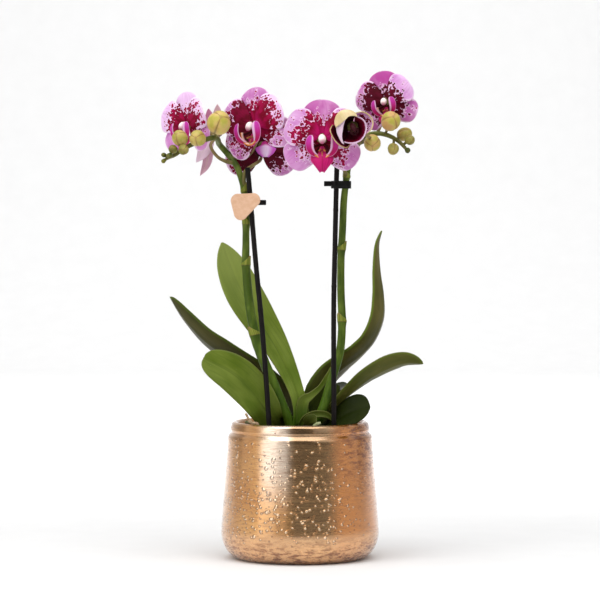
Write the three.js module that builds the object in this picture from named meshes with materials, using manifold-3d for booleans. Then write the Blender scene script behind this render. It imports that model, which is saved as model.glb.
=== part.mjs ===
// Moth orchid with two flower spikes in a glazed pot
// Millimetres, +Z up, seen from -Y. The origin is the centre of the pot's flat underside.

import * as THREE from "three";
import { mergeVertices } from "three/addons/utils/BufferGeometryUtils.js";
import Module from "manifold-3d";

const wasm = await Module();
wasm.setup();

// Clearance between pieces that rest on or in one another
const GAP = 0.3;

// Cover pot
const POT = {
  footRadius: 48,
  bellyRadius: 63.2,
  bellyHeight: 22,
  shoulderRadius: 57.6,
  shoulderHeight: 96,
  neckRadius: 55,
  neckHeight: 101,
  rimRadius: 55.3,
  rimHeight: 109.5,
  rimWall: 5,
  wall: 4.5,
  floor: 6,
};

// Plastic inner pot and the bark in it
const NURSERY = { footRadius: 33, topRadius: 44, lipRadius: 46, lipHeight: 6, top: 106, wall: 1 };
const BARK = { level: 97.5, relief: 2, rings: 7, sectors: 22 };

// Heaps of bark at the front edge: x, y, height and half-width
const HEAPS = [[9, -33, 8, 5], [25, -31, 8, 6], [-32, -18, 6, 5]];

// Short stem that carries the leaves and spikes, an upright body of oval section
const CROWN = { x: 1, y: 0, radiusX: 8.5, radiusY: 6.8, bottom: 82, top: 118 };

// Thickness of the grown pieces
const LEAF_THICKNESS = 1.8;
const TEPAL_THICKNESS = 0.9;

// Point beside the crown at an angle from the viewer's right, for a piece that reaches out that far
function crownSeat(angle, height, reach = 0) {
  const turn = (angle * Math.PI) / 180;
  const x = CROWN.x + (CROWN.radiusX + GAP + reach) * Math.cos(turn);
  const y = CROWN.y + (CROWN.radiusY + GAP + reach) * Math.sin(turn);
  return [x, y, height];
}

// Leaves: spine from crown to tip, full width, roll of the blade about its spine in degrees, how far
// the edges rise above the midrib, and how slim the foot is. At roll 0 the upper side faces the
// viewer. It turns upwards with a positive roll on the left, and with a negative roll on the right.
const LEAVES = {
  leaf_a: {
    spine: [
      crownSeat(155, 110, 1.9), [-11.3, 7.2, 118], [-17, 9, 130], [-30, 8, 142], [-48, 4, 153.5],
      [-65, 0, 166], [-79.5, -6, 178], [-93, -12, 194], [-103, -17, 209.5],
    ],
    width: 29, roll: [90, 125, 125, 114, 112], cup: 4, foot: 0.7,
  },
  leaf_b: {
    spine: [
      [1.2, -8.2, 105.5], [0.8, -9, 117], [-2.4, -7, 131], [-9.6, -1, 149], [-20.8, 5, 170.5],
      [-33.7, 9, 190.5], [-45.8, 11, 210.5], [-55.5, 12, 232], [-62.8, 13, 252.5],
    ],
    width: 31, roll: [0, 20, 25, 22, 20], cup: 3.5, foot: 2.3, tip: 0.8,
  },
  leaf_c: {
    spine: [
      crownSeat(13, 110.8, 1.55), [13.5, 6, 130], [23, 8, 143], [35, 5, 153], [48, 0, 163],
      [58.5, -4, 175], [65, -8, 192], [65.4, -8, 211], [63, -7, 231], [62.2, -6, 250], [65, -6, 262],
    ],
    width: 29, roll: [-70, -60, -75, -105, -112, -112, -112, -108, -102, -95, -90], cup: 4.5, foot: 0.8,
    tip: 0.7, rows: 14,
  },
  leaf_d: {
    spine: [
      crownSeat(0, 106.6, 0.4), [20, 1, 114.5], [32, -4, 125.5], [43.7, -11, 136], [55.5, -18, 145.5],
      [69.6, -23, 153.5], [83, -28, 158], [97, -32, 157.5],
    ],
    width: 25, roll: [-90, -112, -122, -125, -118], cup: 3.5, foot: 1.2,
  },
  leaf_e: {
    spine: [
      crownSeat(88, 108, 2.2), [7, 17, 114], [13, 26, 121], [21, 36, 127], [29, 46, 131], [35.5, 56, 132.5],
    ],
    width: 24, roll: [-80, -100, -100, -100, -100], cup: 3, foot: 1,
  },
  leaf_f: {
    spine: [
      crownSeat(-4, 103, 0.4), [18, 1.2, 104.6], [27, -4.6, 109.2], [36.5, -10.6, 115.3], [46, -15.7, 119.8],
      [55.5, -20.2, 122],
    ],
    width: 25, roll: [-90, -75, -50, -34, -30], cup: 2.5, foot: 1.6,
  },
  leaf_g: {
    spine: [crownSeat(-60, 101.8, 0.6), [6.2, -14, 105], [9, -22, 109.4], [13, -30, 110.4]],
    width: 14, roll: [180, 180, 180, 180], cup: 2, foot: 1,
  },
  leaf_h: {
    spine: [
      crownSeat(183, 105, 0.4), [-16.5, -4.8, 105.5], [-22.5, -15, 109.8], [-29, -21.5, 122],
      [-39.5, -23, 136], [-54.5, -26, 149.5], [-76.5, -28, 161.5],
    ],
    width: 31, roll: [0, 5, 12, 16, 20], cup: 2.5, foot: 1.2, tip: 0.38,
  },
};

// Flower stems: centre line, radii along it, and the heights of the nodes that carry a bract
const SPIKES = {
  spike_left: {
    path: [
      crownSeat(225, 105, 3.2), [-9.6, -8.2, 112], [-13, -9.2, 120], [-17.5, -10, 130.8],
      [-23, -11, 144.3], [-27.8, -12, 155.4], [-31.8, -12, 165.7], [-35.8, -11, 177.6],
      [-40.7, -8, 206.9], [-43.1, -6, 234.7], [-43.1, -6, 254.7], [-43.3, -7.6, 286.6],
      [-48.6, -4, 308.8], [-54, 4.6, 318.3], [-59, 9.6, 324.5], [-64.5, 4, 331], [-65.5, -16, 334.5],
      [-68.5, -34, 335], [-77, -39, 332.5], [-86, -40, 329], [-92.7, -41, 325.2], [-98.1, -42, 321.3],
      [-104.5, -42, 318.6],
    ],
    radii: [3.5, 3.7, 3.7, 3.1, 2.2, 2.2, 1.9, 1.6, 1.2],
    bracts: [179, 235, 268, 293],
    steps: 31,
  },
  spike_right: {
    path: [
      crownSeat(-40, 105, 3.2), [13.4, -9, 109], [17.5, -11, 118.6], [20.7, -11, 128.1], [23.9, -12, 139.2],
      [27.5, -14, 150.3], [31.9, -13.5, 166.2], [33.5, -9, 188.4], [32.7, -4, 213.2], [32.7, -4, 237.1],
      [33.9, -4, 261.9], [34.8, -5, 283.4], [35.9, -5, 294.6], [38, -6, 310.5], [40.7, -8, 320],
      [44.6, -10, 328.7], [50.1, -13, 335], [56.4, -16, 338.4], [64.2, -19, 338.7], [72.1, -22, 336.2],
      [78.3, -25, 332.1], [82.9, -28, 327.3],
    ],
    radii: [3.3, 3.2, 3, 2.7, 2.5, 2.2, 1.9, 1.6, 1.2],
    bracts: [189, 247, 305],
    steps: 29,
  },
};

// Buds: centre, radius, and the share of the spike's length that their stalk leaves from
const BUDS = {
  spike_left: [
    [-63.5, -44, 346.3, 9.4, 0.765], [-79.9, -48.5, 334.1, 6.6, 0.82], [-93.7, -46, 334.2, 6.3, 0.88],
    [-91, -50, 325.3, 4.3, 0.9], [-99.2, -46, 325.6, 3.6, 0.94], [-102, -47, 320.6, 2.4, 0.97],
    [-106.6, -44, 321.2, 1.9, 0.985], [-106.8, -44, 316.6, 1.8, 1],
  ],
  spike_right: [
    [71.3, -32, 348, 7.8, 0.87], [56.9, -33, 331, 6.8, 0.82], [82.4, -19, 338, 5.5, 0.93],
    [73.4, -31, 326.4, 4.6, 0.92], [86.4, -31, 333.2, 3.9, 0.97], [84.6, -33, 325.2, 2.3, 1],
  ],
};

// Sticks and the clips that tie the spikes to them
const STAKES = {
  stake_left: [[-23.5, -28.7, 84], [-24.5, -29.5, 109.5], [-29.3, -25, 177.1], [-35.3, -17, 238.8],
    [-40.2, -12, 296.1], [-41.8, -10.5, 312]],
  stake_right: [[26.6, -26.5, 84], [26.8, -29, 117.3], [26.7, -22, 196.8], [27.8, -15, 250.7],
    [28.9, -9.8, 297], [29.4, -8, 314]],
};
const STAKE_RADIUS = 2.1;
const CLIPS = {
  clip_left: { height: 282, spike: "spike_left", stake: "stake_left", tail: [8.8, -1.2] },
  clip_right: { height: 297, spike: "spike_right", stake: "stake_right", tail: [-6.4, -1.6] },
};
const CLIP = { inner: 3.1, wall: 1.3, band: 4.5 };
const TAG = { x: -43.7, z: 281, width: 22.5, height: 22, thickness: 1, lean: 20, taper: 0.2 };

// Roots that show above the rim: centre line and radius
const ROOTS = {
  root_dry: {
    path: [
      [-30, -25, 92], [-31.8, -25.6, 103], [-34, -26.6, 108.8], [-38.5, -28.4, 110.2], [-43, -30.5, 117.5],
    ],
    radius: 1.4,
  },
  root_green_left: {
    path: [[-35, -8, 90], [-37.5, -9, 102], [-40, -10, 108], [-43.4, -11, 109.6]],
    radius: 1.8,
  },
  root_green_front: {
    path: [[4, -33, 88], [7, -35, 101], [12, -37, 108.5], [16.4, -37, 110.6]],
    radius: 1.8,
  },
};

// A bloom faces local +Z with its upper sepal along local +Y. Tepals are given by the angle that
// they point to, length, width, their height on the hub, and their bend: the slope at the base and
// the change of slope to the tip, in degrees.
const TEPALS = [
  { angle: 90, length: 29, width: 29, height: -1.7, slope: 6, bend: -22, claw: 4, root: 0.7, tip: 0.42 },
  { angle: 214, length: 31.5, width: 26, height: -2, slope: 6, bend: -22, claw: 4, root: 0.7, tip: 0.42 },
  { angle: 326, length: 31.5, width: 26, height: -2, slope: 6, bend: -22, claw: 4, root: 0.7, tip: 0.42 },
  { angle: 153, length: 29, width: 31, height: 0.1, slope: 16, bend: -30, claw: 3, root: 0.8, tip: 0.4 },
  { angle: 27, length: 29, width: 31, height: 0.1, slope: 16, bend: -30, claw: 3, root: 0.8, tip: 0.4 },
];
const HUB = [[0, -7], [1.9, -7], [3.4, -4.6], [4.3, -1.6], [4.1, 0.8], [0, 0.8]];
const LIP = {
  midLobe: [[0, -2.7, 1.2], [0, -5, 5], [0, -9, 9], [0, -15, 10.8], [0, -21, 9.8], [0, -27, 6.6]],
  midWidth: 20,
  sideLobe: [[2, -9, 5], [5.4, -12.6, 7.4], [8.2, -9.6, 9.2], [9, -4, 10], [7.9, 1.6, 10]],
  sideWidth: 7,
};
const COLUMN = {
  path: [[0, 0.9, 1.1], [0, 0.6, 4], [0, -1.2, 7.4], [0, -4, 9.8]],
  radii: [2, 2.3, 3.2, 1.8],
};

// Blooms: centre, turn to the viewer's right, tilt up and roll in degrees, size, how far the tepals
// fold forward and curl in towards their tips in degrees, size of the lip, share of the spike's
// length where the stalk leaves, and the points that it passes on its way behind the bloom
const BLOOMS = [
  {
    spike: "spike_left", centre: [-89.5, -13, 345.5], turn: -45, tilt: 0, roll: 4, size: 0.86, fold: 10,
    curl: 0, lip: 1, from: 0.72, via: [[-70, -4, 338]],
  },
  {
    spike: "spike_left", centre: [-36.5, -17, 345], turn: -35, tilt: 0, roll: 6, size: 1, fold: 0,
    curl: 0, lip: 1, from: 0.6, via: [[-40, -4, 323]],
  },
  {
    spike: "spike_left", centre: [-31, 10, 329.5], turn: 6, tilt: 0, roll: 0, size: 0.95, fold: 0,
    curl: 0, lip: 0.5, from: 0.53, via: [[-38, 10, 302], [-31, 19, 310]],
  },
  {
    spike: "spike_right", centre: [17.3, -39, 334.2], turn: 0, tilt: 0, roll: 0, size: 1, fold: 0,
    curl: 0, lip: 1, from: 0.6, via: [[33, -17, 314]],
  },
  {
    spike: "spike_right", centre: [41, -53, 343], turn: 0, tilt: 0, roll: 20, size: 1.1, fold: 16,
    curl: 130, lip: 0.26, from: 0.73, via: [[54, -28, 334], [54.5, -40, 335], [47, -46, 340]],
  },
  {
    spike: "spike_right", centre: [68, -12, 364.5], turn: -20, tilt: 0, roll: 12, size: 0.8, fold: 0,
    curl: 0, lip: 1, from: 0.79, via: [[60, -6, 337.5], [66, 0, 350]],
  },
  {
    spike: "spike_left", centre: [-73, 22, 338], turn: -112, tilt: -10, roll: 50, size: 0.9, fold: 20,
    curl: 0, lip: 1, from: 0.69, via: [[-64, 10, 331]],
  },
];

// A curl of this many degrees would slim a tepal to nothing, and cup it by its full width
const CURL_SLIMS = 360;
const CURL_CUPS = 550;

const radians = THREE.MathUtils.degToRad;
const up = new THREE.Vector3(0, 0, 1);
const towardsViewer = new THREE.Vector3(0, -1, 0);

function smoothPath(points) {
  const knots = points.map((point) => new THREE.Vector3(...point));
  return new THREE.CatmullRomCurve3(knots, false, "catmullrom", 0.5);
}

// Value between evenly spread stations, for a share of the length from 0 to 1
function between(values, share) {
  const place = share * (values.length - 1);
  const low = Math.min(Math.floor(place), values.length - 2);
  return THREE.MathUtils.lerp(values[low], values[low + 1], place - low);
}

// Width of a blade from base to tip, 1 at its widest
function bladeWidth(share, root, tip) {
  const widest = root / (root + tip);
  const value = (at) => at ** root * (1 - at) ** tip;
  return value(share) / value(widest);
}

// Share of a path's length at which it first rises past a height
function shareAtHeight(path, height) {
  let share = 0;
  while (path.getPoint(share).z < height) share += 0.002;
  return share;
}

function pointAtHeight(points, height) {
  const path = smoothPath(points);
  return path.getPoint(shareAtHeight(path, height));
}

function indexed(positions, faces) {
  const geometry = new THREE.BufferGeometry();
  geometry.setAttribute("position", new THREE.Float32BufferAttribute(positions.flat(), 3));
  geometry.setIndex(faces.flat());
  return geometry;
}

// Closed blade of even thickness about a surface, split alike on both faces
function blade(surface, rows, columns, thickness) {
  const front = [];
  const back = [];
  const step = 0.004;
  for (const u of rows) {
    for (const v of columns) {
      const point = surface(u, v);
      const along = surface(Math.min(u + step, 1), v).sub(surface(Math.max(u - step, 0), v));
      const across = surface(u, v + step).sub(surface(u, v - step));
      const normal = along.cross(across).normalize().multiplyScalar(thickness / 2);
      front.push(point.clone().add(normal).toArray());
      back.push(point.clone().sub(normal).toArray());
    }
  }
  const faces = [];
  const wide = columns.length;
  const total = front.length;
  const at = (i, j) => i * wide + j;
  const wall = (a, b) => faces.push([b, a, a + total], [b, a + total, b + total]);
  for (let i = 0; i < rows.length - 1; i += 1) {
    for (let j = 0; j < wide - 1; j += 1) {
      const [a, b, c, d] = [at(i, j), at(i + 1, j), at(i + 1, j + 1), at(i, j + 1)];
      faces.push([a, b, c], [a, c, d]);
      faces.push([a + total, c + total, b + total], [a + total, d + total, c + total]);
    }
    wall(at(i, 0), at(i + 1, 0));
    wall(at(i + 1, wide - 1), at(i, wide - 1));
  }
  for (let j = 0; j < wide - 1; j += 1) {
    wall(at(rows.length - 1, j), at(rows.length - 1, j + 1));
    wall(at(0, j + 1), at(0, j));
  }
  return indexed([...front, ...back], faces);
}

// Surface of a strap about a spine: rolled about it, with its edges raised
function strap({ spine, width, outline, roll, facing, cup, notch = 0 }) {
  const path = smoothPath(spine);
  return (u, v) => {
    const along = path.getTangent(u);
    const side = new THREE.Vector3().crossVectors(along, facing).normalize();
    const normal = new THREE.Vector3().crossVectors(side, along);
    const turn = radians(between(roll, u));
    side.applyAxisAngle(along, turn);
    normal.applyAxisAngle(along, turn);
    const share = outline(u);
    return path.getPoint(u)
      .addScaledVector(side, (v * width * share) / 2)
      .addScaledVector(normal, cup * v * v * share)
      .addScaledVector(along, -notch * (1 - Math.abs(v)) * u ** 6);
  };
}

// Round stem along a path, closed at both ends
function stem(path, radii, steps, sides) {
  const rings = [];
  let normal = new THREE.Vector3(1, 0.3, 0.1);
  for (let i = 0; i <= steps; i += 1) {
    const along = path.getTangent(i / steps);
    normal = normal.addScaledVector(along, -normal.dot(along)).normalize();
    const binormal = new THREE.Vector3().crossVectors(along, normal);
    const centre = path.getPoint(i / steps);
    const radius = between(radii, i / steps);
    for (let side = 0; side < sides; side += 1) {
      const angle = (2 * Math.PI * side) / sides;
      rings.push(centre.clone()
        .addScaledVector(normal, radius * Math.cos(angle))
        .addScaledVector(binormal, radius * Math.sin(angle)).toArray());
    }
  }
  const faces = [];
  const last = steps * sides;
  for (let side = 0; side < sides; side += 1) {
    const next = (side + 1) % sides;
    for (let ring = 0; ring < last; ring += sides) {
      faces.push([ring + side, ring + next, ring + sides + next]);
      faces.push([ring + side, ring + sides + next, ring + sides + side]);
    }
    if (side > 0 && side < sides - 1) {
      faces.push([0, next, side], [last, last + side, last + next]);
    }
  }
  return indexed(rings, faces);
}

// Body of revolution about +Z from an outline of radius and height
function turned(profile, segments) {
  const outline = profile.map(([radius, height]) => new THREE.Vector2(radius, height));
  return new THREE.LatheGeometry(outline, segments).rotateX(Math.PI / 2);
}

// Solid of a geometry, with its shared corners merged and its empty faces dropped
function solidOf(geometry) {
  const bare = new THREE.BufferGeometry();
  bare.setAttribute("position", geometry.getAttribute("position"));
  bare.setIndex(geometry.getIndex());
  const merged = mergeVertices(bare, 1e-4);
  const index = merged.getIndex().array;
  const faces = [];
  for (let i = 0; i < index.length; i += 3) {
    const [a, b, c] = index.slice(i, i + 3);
    if (a !== b && b !== c && c !== a) faces.push(a, b, c);
  }
  const vertProperties = new Float32Array(merged.getAttribute("position").array);
  return new wasm.Manifold(new wasm.Mesh({ numProp: 3, vertProperties, triVerts: new Uint32Array(faces) }));
}

function geometryOf(solid) {
  const { vertProperties, triVerts } = solid.getMesh();
  const geometry = new THREE.BufferGeometry();
  geometry.setAttribute("position", new THREE.BufferAttribute(new Float32Array(vertProperties), 3));
  geometry.setIndex(new THREE.BufferAttribute(new Uint32Array(triVerts), 1));
  return geometry;
}

function joined(geometries) {
  return geometryOf(geometries.map(solidOf).reduce((whole, next) => whole.add(next)));
}

function cut(geometry, tools) {
  return geometryOf(tools.map(solidOf).reduce((whole, next) => whole.subtract(next), solidOf(geometry)));
}

const orchid = new THREE.Group();

function place(name, geometry, color, roughness, metalness = 0) {
  const material = new THREE.MeshStandardMaterial({ color, roughness, metalness });
  geometry.computeVertexNormals();
  const mesh = new THREE.Mesh(geometry, material);
  mesh.name = name;
  orchid.add(mesh);
}

// Cover pot: rounded foot, straight flare to the shoulder, a soft neck and a rolled rim
function potProfile() {
  const profile = [[0, 0], [POT.footRadius, 0]];
  for (const angle of [25, 50, 75, 90]) {
    const turn = radians(angle);
    const radius = POT.footRadius + (POT.bellyRadius - POT.footRadius) * Math.sin(turn);
    profile.push([radius, POT.bellyHeight * (1 - Math.cos(turn))]);
  }
  profile.push([POT.shoulderRadius, POT.shoulderHeight], [POT.neckRadius + 1, POT.neckHeight - 2.4]);
  profile.push([POT.neckRadius, POT.neckHeight], [POT.rimRadius, POT.neckHeight + 2]);
  profile.push([POT.rimRadius - 1.4, POT.rimHeight - 2], [POT.rimRadius - 3, POT.rimHeight]);
  profile.push([POT.rimRadius - POT.rimWall, POT.rimHeight - 1]);
  profile.push([POT.rimRadius - POT.rimWall - 1, POT.neckHeight - 2]);
  profile.push([POT.bellyRadius - POT.wall, POT.bellyHeight], [POT.footRadius, POT.floor], [0, POT.floor]);
  return profile;
}

// Inner pot: a thin tapered cup with a turned-out band at its top
function nurseryProfile() {
  const bottom = POT.floor + GAP;
  const { footRadius, topRadius, lipRadius, lipHeight, top, wall } = NURSERY;
  return [
    [0, bottom], [footRadius, bottom], [topRadius, top - lipHeight], [lipRadius, top - lipHeight],
    [lipRadius, top], [topRadius, top], [topRadius - wall, top - lipHeight],
    [footRadius - wall, bottom + wall], [0, bottom + wall],
  ];
}

// Bark: fills the inner pot, its top broken into chunks
function barkBody() {
  const bottom = POT.floor + NURSERY.wall + 2 * GAP;
  const inner = (height) => {
    const share = (height - POT.floor) / (NURSERY.top - NURSERY.lipHeight - POT.floor);
    return THREE.MathUtils.lerp(NURSERY.footRadius, NURSERY.topRadius, share) - NURSERY.wall - 2 * GAP;
  };
  const chunk = (x, y) => {
    const across = Math.sin(0.31 * x + 1.1 * Math.sin(0.17 * y));
    const along = Math.cos(0.36 * y + 0.8 * Math.sin(0.21 * x));
    const heaps = HEAPS.map(([cx, cy, rise, half]) => {
      return rise / (1 + ((x - cx) ** 2 + (y - cy) ** 2) / half ** 2);
    });
    return BARK.relief * (2 * Math.abs(across * along) - 1) + Math.max(...heaps);
  };
  const positions = [[0, 0, bottom], [0, 0, BARK.level + chunk(0, 0)]];
  const faces = [];
  const { rings, sectors } = BARK;
  const at = (ring, sector) => 2 + ring * sectors + (sector % sectors);
  const addRing = (radius, heightAt) => {
    for (let sector = 0; sector < sectors; sector += 1) {
      const angle = (2 * Math.PI * sector) / sectors;
      const [x, y] = [radius * Math.cos(angle), radius * Math.sin(angle)];
      positions.push([x, y, heightAt(x, y)]);
    }
  };
  for (let ring = 1; ring <= rings; ring += 1) {
    const radius = (inner(BARK.level - BARK.relief) * ring) / rings;
    addRing(radius, (x, y) => BARK.level + (ring < rings ? chunk(x, y) : -BARK.relief));
  }
  addRing(inner(bottom), () => bottom);
  for (let sector = 0; sector < sectors; sector += 1) {
    faces.push([1, at(0, sector), at(0, sector + 1)], [0, at(rings, sector + 1), at(rings, sector)]);
    for (let ring = 0; ring < rings; ring += 1) {
      const [a, b] = [at(ring, sector), at(ring, sector + 1)];
      const [c, d] = [at(ring + 1, sector), at(ring + 1, sector + 1)];
      faces.push([a, c, d], [a, d, b]);
    }
  }
  return indexed(positions, faces);
}

function crownBody(clearance, top) {
  const { x, y, radiusX, radiusY, bottom } = CROWN;
  const scale = 1 + clearance / radiusY;
  const profile = [[0, bottom - clearance], [0.8, bottom - clearance], [1, bottom + 8], [1, top - 10]];
  const dome = clearance > 0 ? [[1, top], [0, top]] : [[0.94, top - 5], [0.7, top - 1.4], [0, top]];
  return turned([...profile, ...dome], 16).scale(radiusX * scale, radiusY * scale, 1).translate(x, y, 0);
}

// A leaf is widest past its middle, with a rounded tip and a narrow clasping base
function leafBlade({ spine, width, roll, cup, foot, tip = 0.5, rows: count = 10 }) {
  const outline = (u) => Math.hypot(bladeWidth(u, foot, tip), 0.3 * (1 - u), 0.05);
  const rows = Array.from({ length: count }, (_, i) => Math.sin((i / (count - 1)) * (Math.PI / 2)) * 0.985);
  const surface = strap({ spine, width, outline, roll, facing: towardsViewer, cup });
  return blade(surface, rows, [-1, -0.5, 0, 0.5, 1], LEAF_THICKNESS);
}

// A bract is a short pointed scale that hugs the stem over a swollen node
function bractAt(path, radii, share, turn) {
  const along = path.getTangent(share);
  const out = new THREE.Vector3(Math.cos(turn), Math.sin(turn), 0);
  out.addScaledVector(along, -out.dot(along)).normalize();
  const side = new THREE.Vector3().crossVectors(along, out);
  const radius = between(radii, share);
  const surface = (u, v) => {
    const wrap = v * 1.25 * (1 - u * u * 0.8);
    return path.getPoint(share)
      .addScaledVector(along, u * 12 - 2)
      .addScaledVector(out, (radius + 0.2 + 1.1 * u) * Math.cos(wrap))
      .addScaledVector(side, (radius + 0.2 + 1.1 * u) * Math.sin(wrap));
  };
  return blade(surface, [0, 0.4, 1], [-1, -0.35, 0.35, 1], 1);
}

// A bud is an egg on a thin curved stalk
function budAt(path, [x, y, z, radius, from]) {
  const centre = new THREE.Vector3(x, y, z);
  const start = path.getPoint(from);
  const out = centre.clone().sub(start);
  const lean = out.clone().normalize().add(new THREE.Vector3(0, -0.6, -0.1)).normalize();
  const egg = turned([
    [0, -1.05 * radius], [0.7 * radius, -0.7 * radius], [0.98 * radius, 0],
    [0.72 * radius, 0.75 * radius], [0, 1.2 * radius],
  ], radius > 5 ? 9 : 6);
  egg.applyQuaternion(new THREE.Quaternion().setFromUnitVectors(up, lean)).translate(x, y, z);
  const foot = centre.clone().addScaledVector(lean, -0.8 * radius);
  const bow = start.clone().lerp(foot, 0.5).add(new THREE.Vector3(0, 0.5, -0.12 * out.length()));
  const stalk = stem(smoothPath([start.toArray(), bow.toArray(), foot.toArray()]), [1.2, 1, 1.3], 3, 5);
  return [egg, stalk];
}

// Place of a bloom: its facing, its upper side and the point behind its hub where the stalk ends
function bloomFrame({ centre, turn, tilt, roll, size }) {
  const facing = new THREE.Vector3(0, -1, 0)
    .applyAxisAngle(new THREE.Vector3(1, 0, 0), radians(-tilt))
    .applyAxisAngle(up, radians(turn));
  const upper = up.clone().addScaledVector(facing, -facing.z).normalize();
  upper.applyAxisAngle(facing, radians(roll));
  const right = new THREE.Vector3().crossVectors(upper, facing);
  const matrix = new THREE.Matrix4().makeBasis(right, upper, facing);
  matrix.scale(new THREE.Vector3(size, size, size)).setPosition(...centre);
  const seat = new THREE.Vector3(0, 0, HUB[0][1] - GAP / size).applyMatrix4(matrix);
  return { matrix, facing, seat };
}

// A bloom's stalk leaves the spike, swings out behind the bloom and meets its hub square on
function pedicel(path, bloom) {
  const { facing, seat } = bloomFrame(bloom);
  const start = path.getPoint(bloom.from);
  const approach = seat.clone().addScaledVector(facing, -4 * bloom.size);
  const end = seat.clone().addScaledVector(facing, -1);
  const stops = [approach, end, seat].map((point) => point.toArray());
  const route = smoothPath([start.toArray(), ...bloom.via, ...stops]);
  return stem(route, [1.5, 1.4, 1.5, 1.8 * bloom.size], 8, 6);
}

// One tepal: it leaves the hub at a slope and bends on towards its tip
function tepalSurface({ angle, length, width, height, slope, bend, claw, root, tip }, { fold, curl }) {
  const turn = radians(angle);
  const outward = new THREE.Vector3(Math.cos(turn), Math.sin(turn), 0);
  const side = new THREE.Vector3(-Math.sin(turn), Math.cos(turn), 0);
  const start = radians(slope + fold);
  const change = radians(bend + curl);
  const full = width * (1 - curl / CURL_SLIMS);
  const cup = full * (curl / CURL_CUPS - 0.075);
  return (u, v) => {
    const rise = start + change * u;
    const reach = 2.2 + (length / change) * (Math.sin(rise) - Math.sin(start));
    const lift = height + (length / change) * (Math.cos(start) - Math.cos(rise));
    const share = Math.hypot(bladeWidth(u, root, tip), (claw / width) * (1 - u), 0.06);
    const edge = cup * v * v * share;
    return new THREE.Vector3()
      .addScaledVector(outward, reach - edge * Math.sin(rise))
      .addScaledVector(side, (v * full * share) / 2)
      .addScaledVector(up, lift + edge * Math.cos(rise));
  };
}

// Sepals are narrow and take fewer strips than the two broad petals
function tepalBodies(bloom) {
  const rows = [0, 0.15, 0.42, 0.7, 0.9, 0.99];
  const columns = (tepal) => (tepal.width > 30 ? [-1, -0.5, 0, 0.5, 1] : [-1, 0, 1]);
  const blades = TEPALS.map((tepal) => {
    return blade(tepalSurface(tepal, bloom), rows, columns(tepal), TEPAL_THICKNESS);
  });
  return joined([turned(HUB, 8), ...blades]);
}

// Lip: a bowed middle lobe with a forked tip, and two side lobes that stand beside the column
function lipBody(size) {
  const midOutline = (u) => Math.hypot(bladeWidth(u, 2.2, 1.3), 0.2 * (1 - u), 0.2 * u);
  const mid = strap({
    spine: LIP.midLobe, width: LIP.midWidth, outline: midOutline,
    roll: [0, 0], facing: up, cup: -2.2, notch: 3,
  });
  const bodies = [blade(mid, [0, 0.3, 0.6, 0.84, 1], [-1, 0, 1], TEPAL_THICKNESS)];
  for (const hand of [-1, 1]) {
    const spine = LIP.sideLobe.map(([x, y, z]) => [hand * x, y, z]);
    const outline = (u) => Math.hypot(bladeWidth(u, 0.6, 0.35), 0.3 * (1 - u), 0.1);
    const lobe = strap({
      spine, width: LIP.sideWidth, outline, roll: [hand * 20, hand * 30, hand * 35], facing: up, cup: 1.2,
    });
    bodies.push(blade(lobe, [0, 0.5, 0.97], [-1, 0, 1], TEPAL_THICKNESS));
  }
  bodies.push(new THREE.OctahedronGeometry(2.4, 0).translate(0, -8, 6.8));
  const [x, y, z] = LIP.midLobe[0];
  return joined(bodies).translate(-x, -y, -z).scale(size, size, size).translate(x, y, z);
}

// Clip: a flat band bent round stem and stick, with a straight tail
function clipBody({ height, spike, stake, tail }) {
  const middle = height + CLIP.band / 2;
  const a = pointAtHeight(SPIKES[spike].path, middle);
  const b = pointAtHeight(STAKES[stake], middle);
  const half = Math.hypot(b.x - a.x, b.y - a.y) / 2;
  const loop = (Path, radius) => {
    const path = new Path();
    path.absarc(half, 0, radius, -Math.PI / 2, Math.PI / 2, false);
    path.absarc(-half, 0, radius, Math.PI / 2, (3 * Math.PI) / 2, false);
    return path;
  };
  const outline = loop(THREE.Shape, CLIP.inner + CLIP.wall);
  outline.holes.push(loop(THREE.Path, CLIP.inner));
  const settings = { depth: CLIP.band, bevelEnabled: false, curveSegments: 5 };
  const band = new THREE.ExtrudeGeometry(outline, settings);
  band.rotateZ(Math.atan2(b.y - a.y, b.x - a.x)).translate((a.x + b.x) / 2, (a.y + b.y) / 2, height);
  const reach = new THREE.Vector2(...tail);
  const arm = new THREE.BoxGeometry(reach.length(), CLIP.wall, CLIP.band - 1);
  arm.translate(reach.length() / 2 + CLIP.inner + 0.4, 0, 0).rotateZ(reach.angle());
  arm.translate(b.x, b.y, middle);
  return joined([band, arm]);
}

// Tag: a bare egg-shaped plate, slimmer at its foot, in front of its clip
function tagBody() {
  const outline = new THREE.Shape();
  for (let i = 0; i < 24; i += 1) {
    const angle = (2 * Math.PI * i) / 24;
    const across = (TAG.width / 2) * Math.cos(angle) * (1 + TAG.taper * Math.sin(angle));
    const rise = (TAG.height / 2) * Math.sin(angle);
    if (i === 0) outline.moveTo(across, rise);
    else outline.lineTo(across, rise);
  }
  const plate = new THREE.ExtrudeGeometry(outline, { depth: TAG.thickness, bevelEnabled: false });
  const { height, stake } = CLIPS.clip_left;
  const back = pointAtHeight(STAKES[stake], height + CLIP.band / 2).y - CLIP.inner - CLIP.wall - GAP;
  return plate.rotateZ(radians(-TAG.lean)).rotateX(Math.PI / 2).translate(TAG.x, back, TAG.z);
}

function rootBody({ path, radius }, clearance = 0) {
  const reach = radius + clearance;
  const route = smoothPath(path);
  if (clearance === 0) return stem(route, [reach, reach, reach, 0.6 * reach], 5, 6);
  const [foot, ...rest] = path;
  return stem(smoothPath([[foot[0], foot[1], foot[2] - clearance], ...rest]), [reach, reach], 5, 6);
}

function stakeBody(path, clearance = 0) {
  const [foot, ...rest] = path;
  const route = smoothPath([[foot[0], foot[1], foot[2] - clearance], ...rest]);
  return stem(route, [STAKE_RADIUS + clearance, STAKE_RADIUS + clearance], 6, 8);
}

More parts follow.
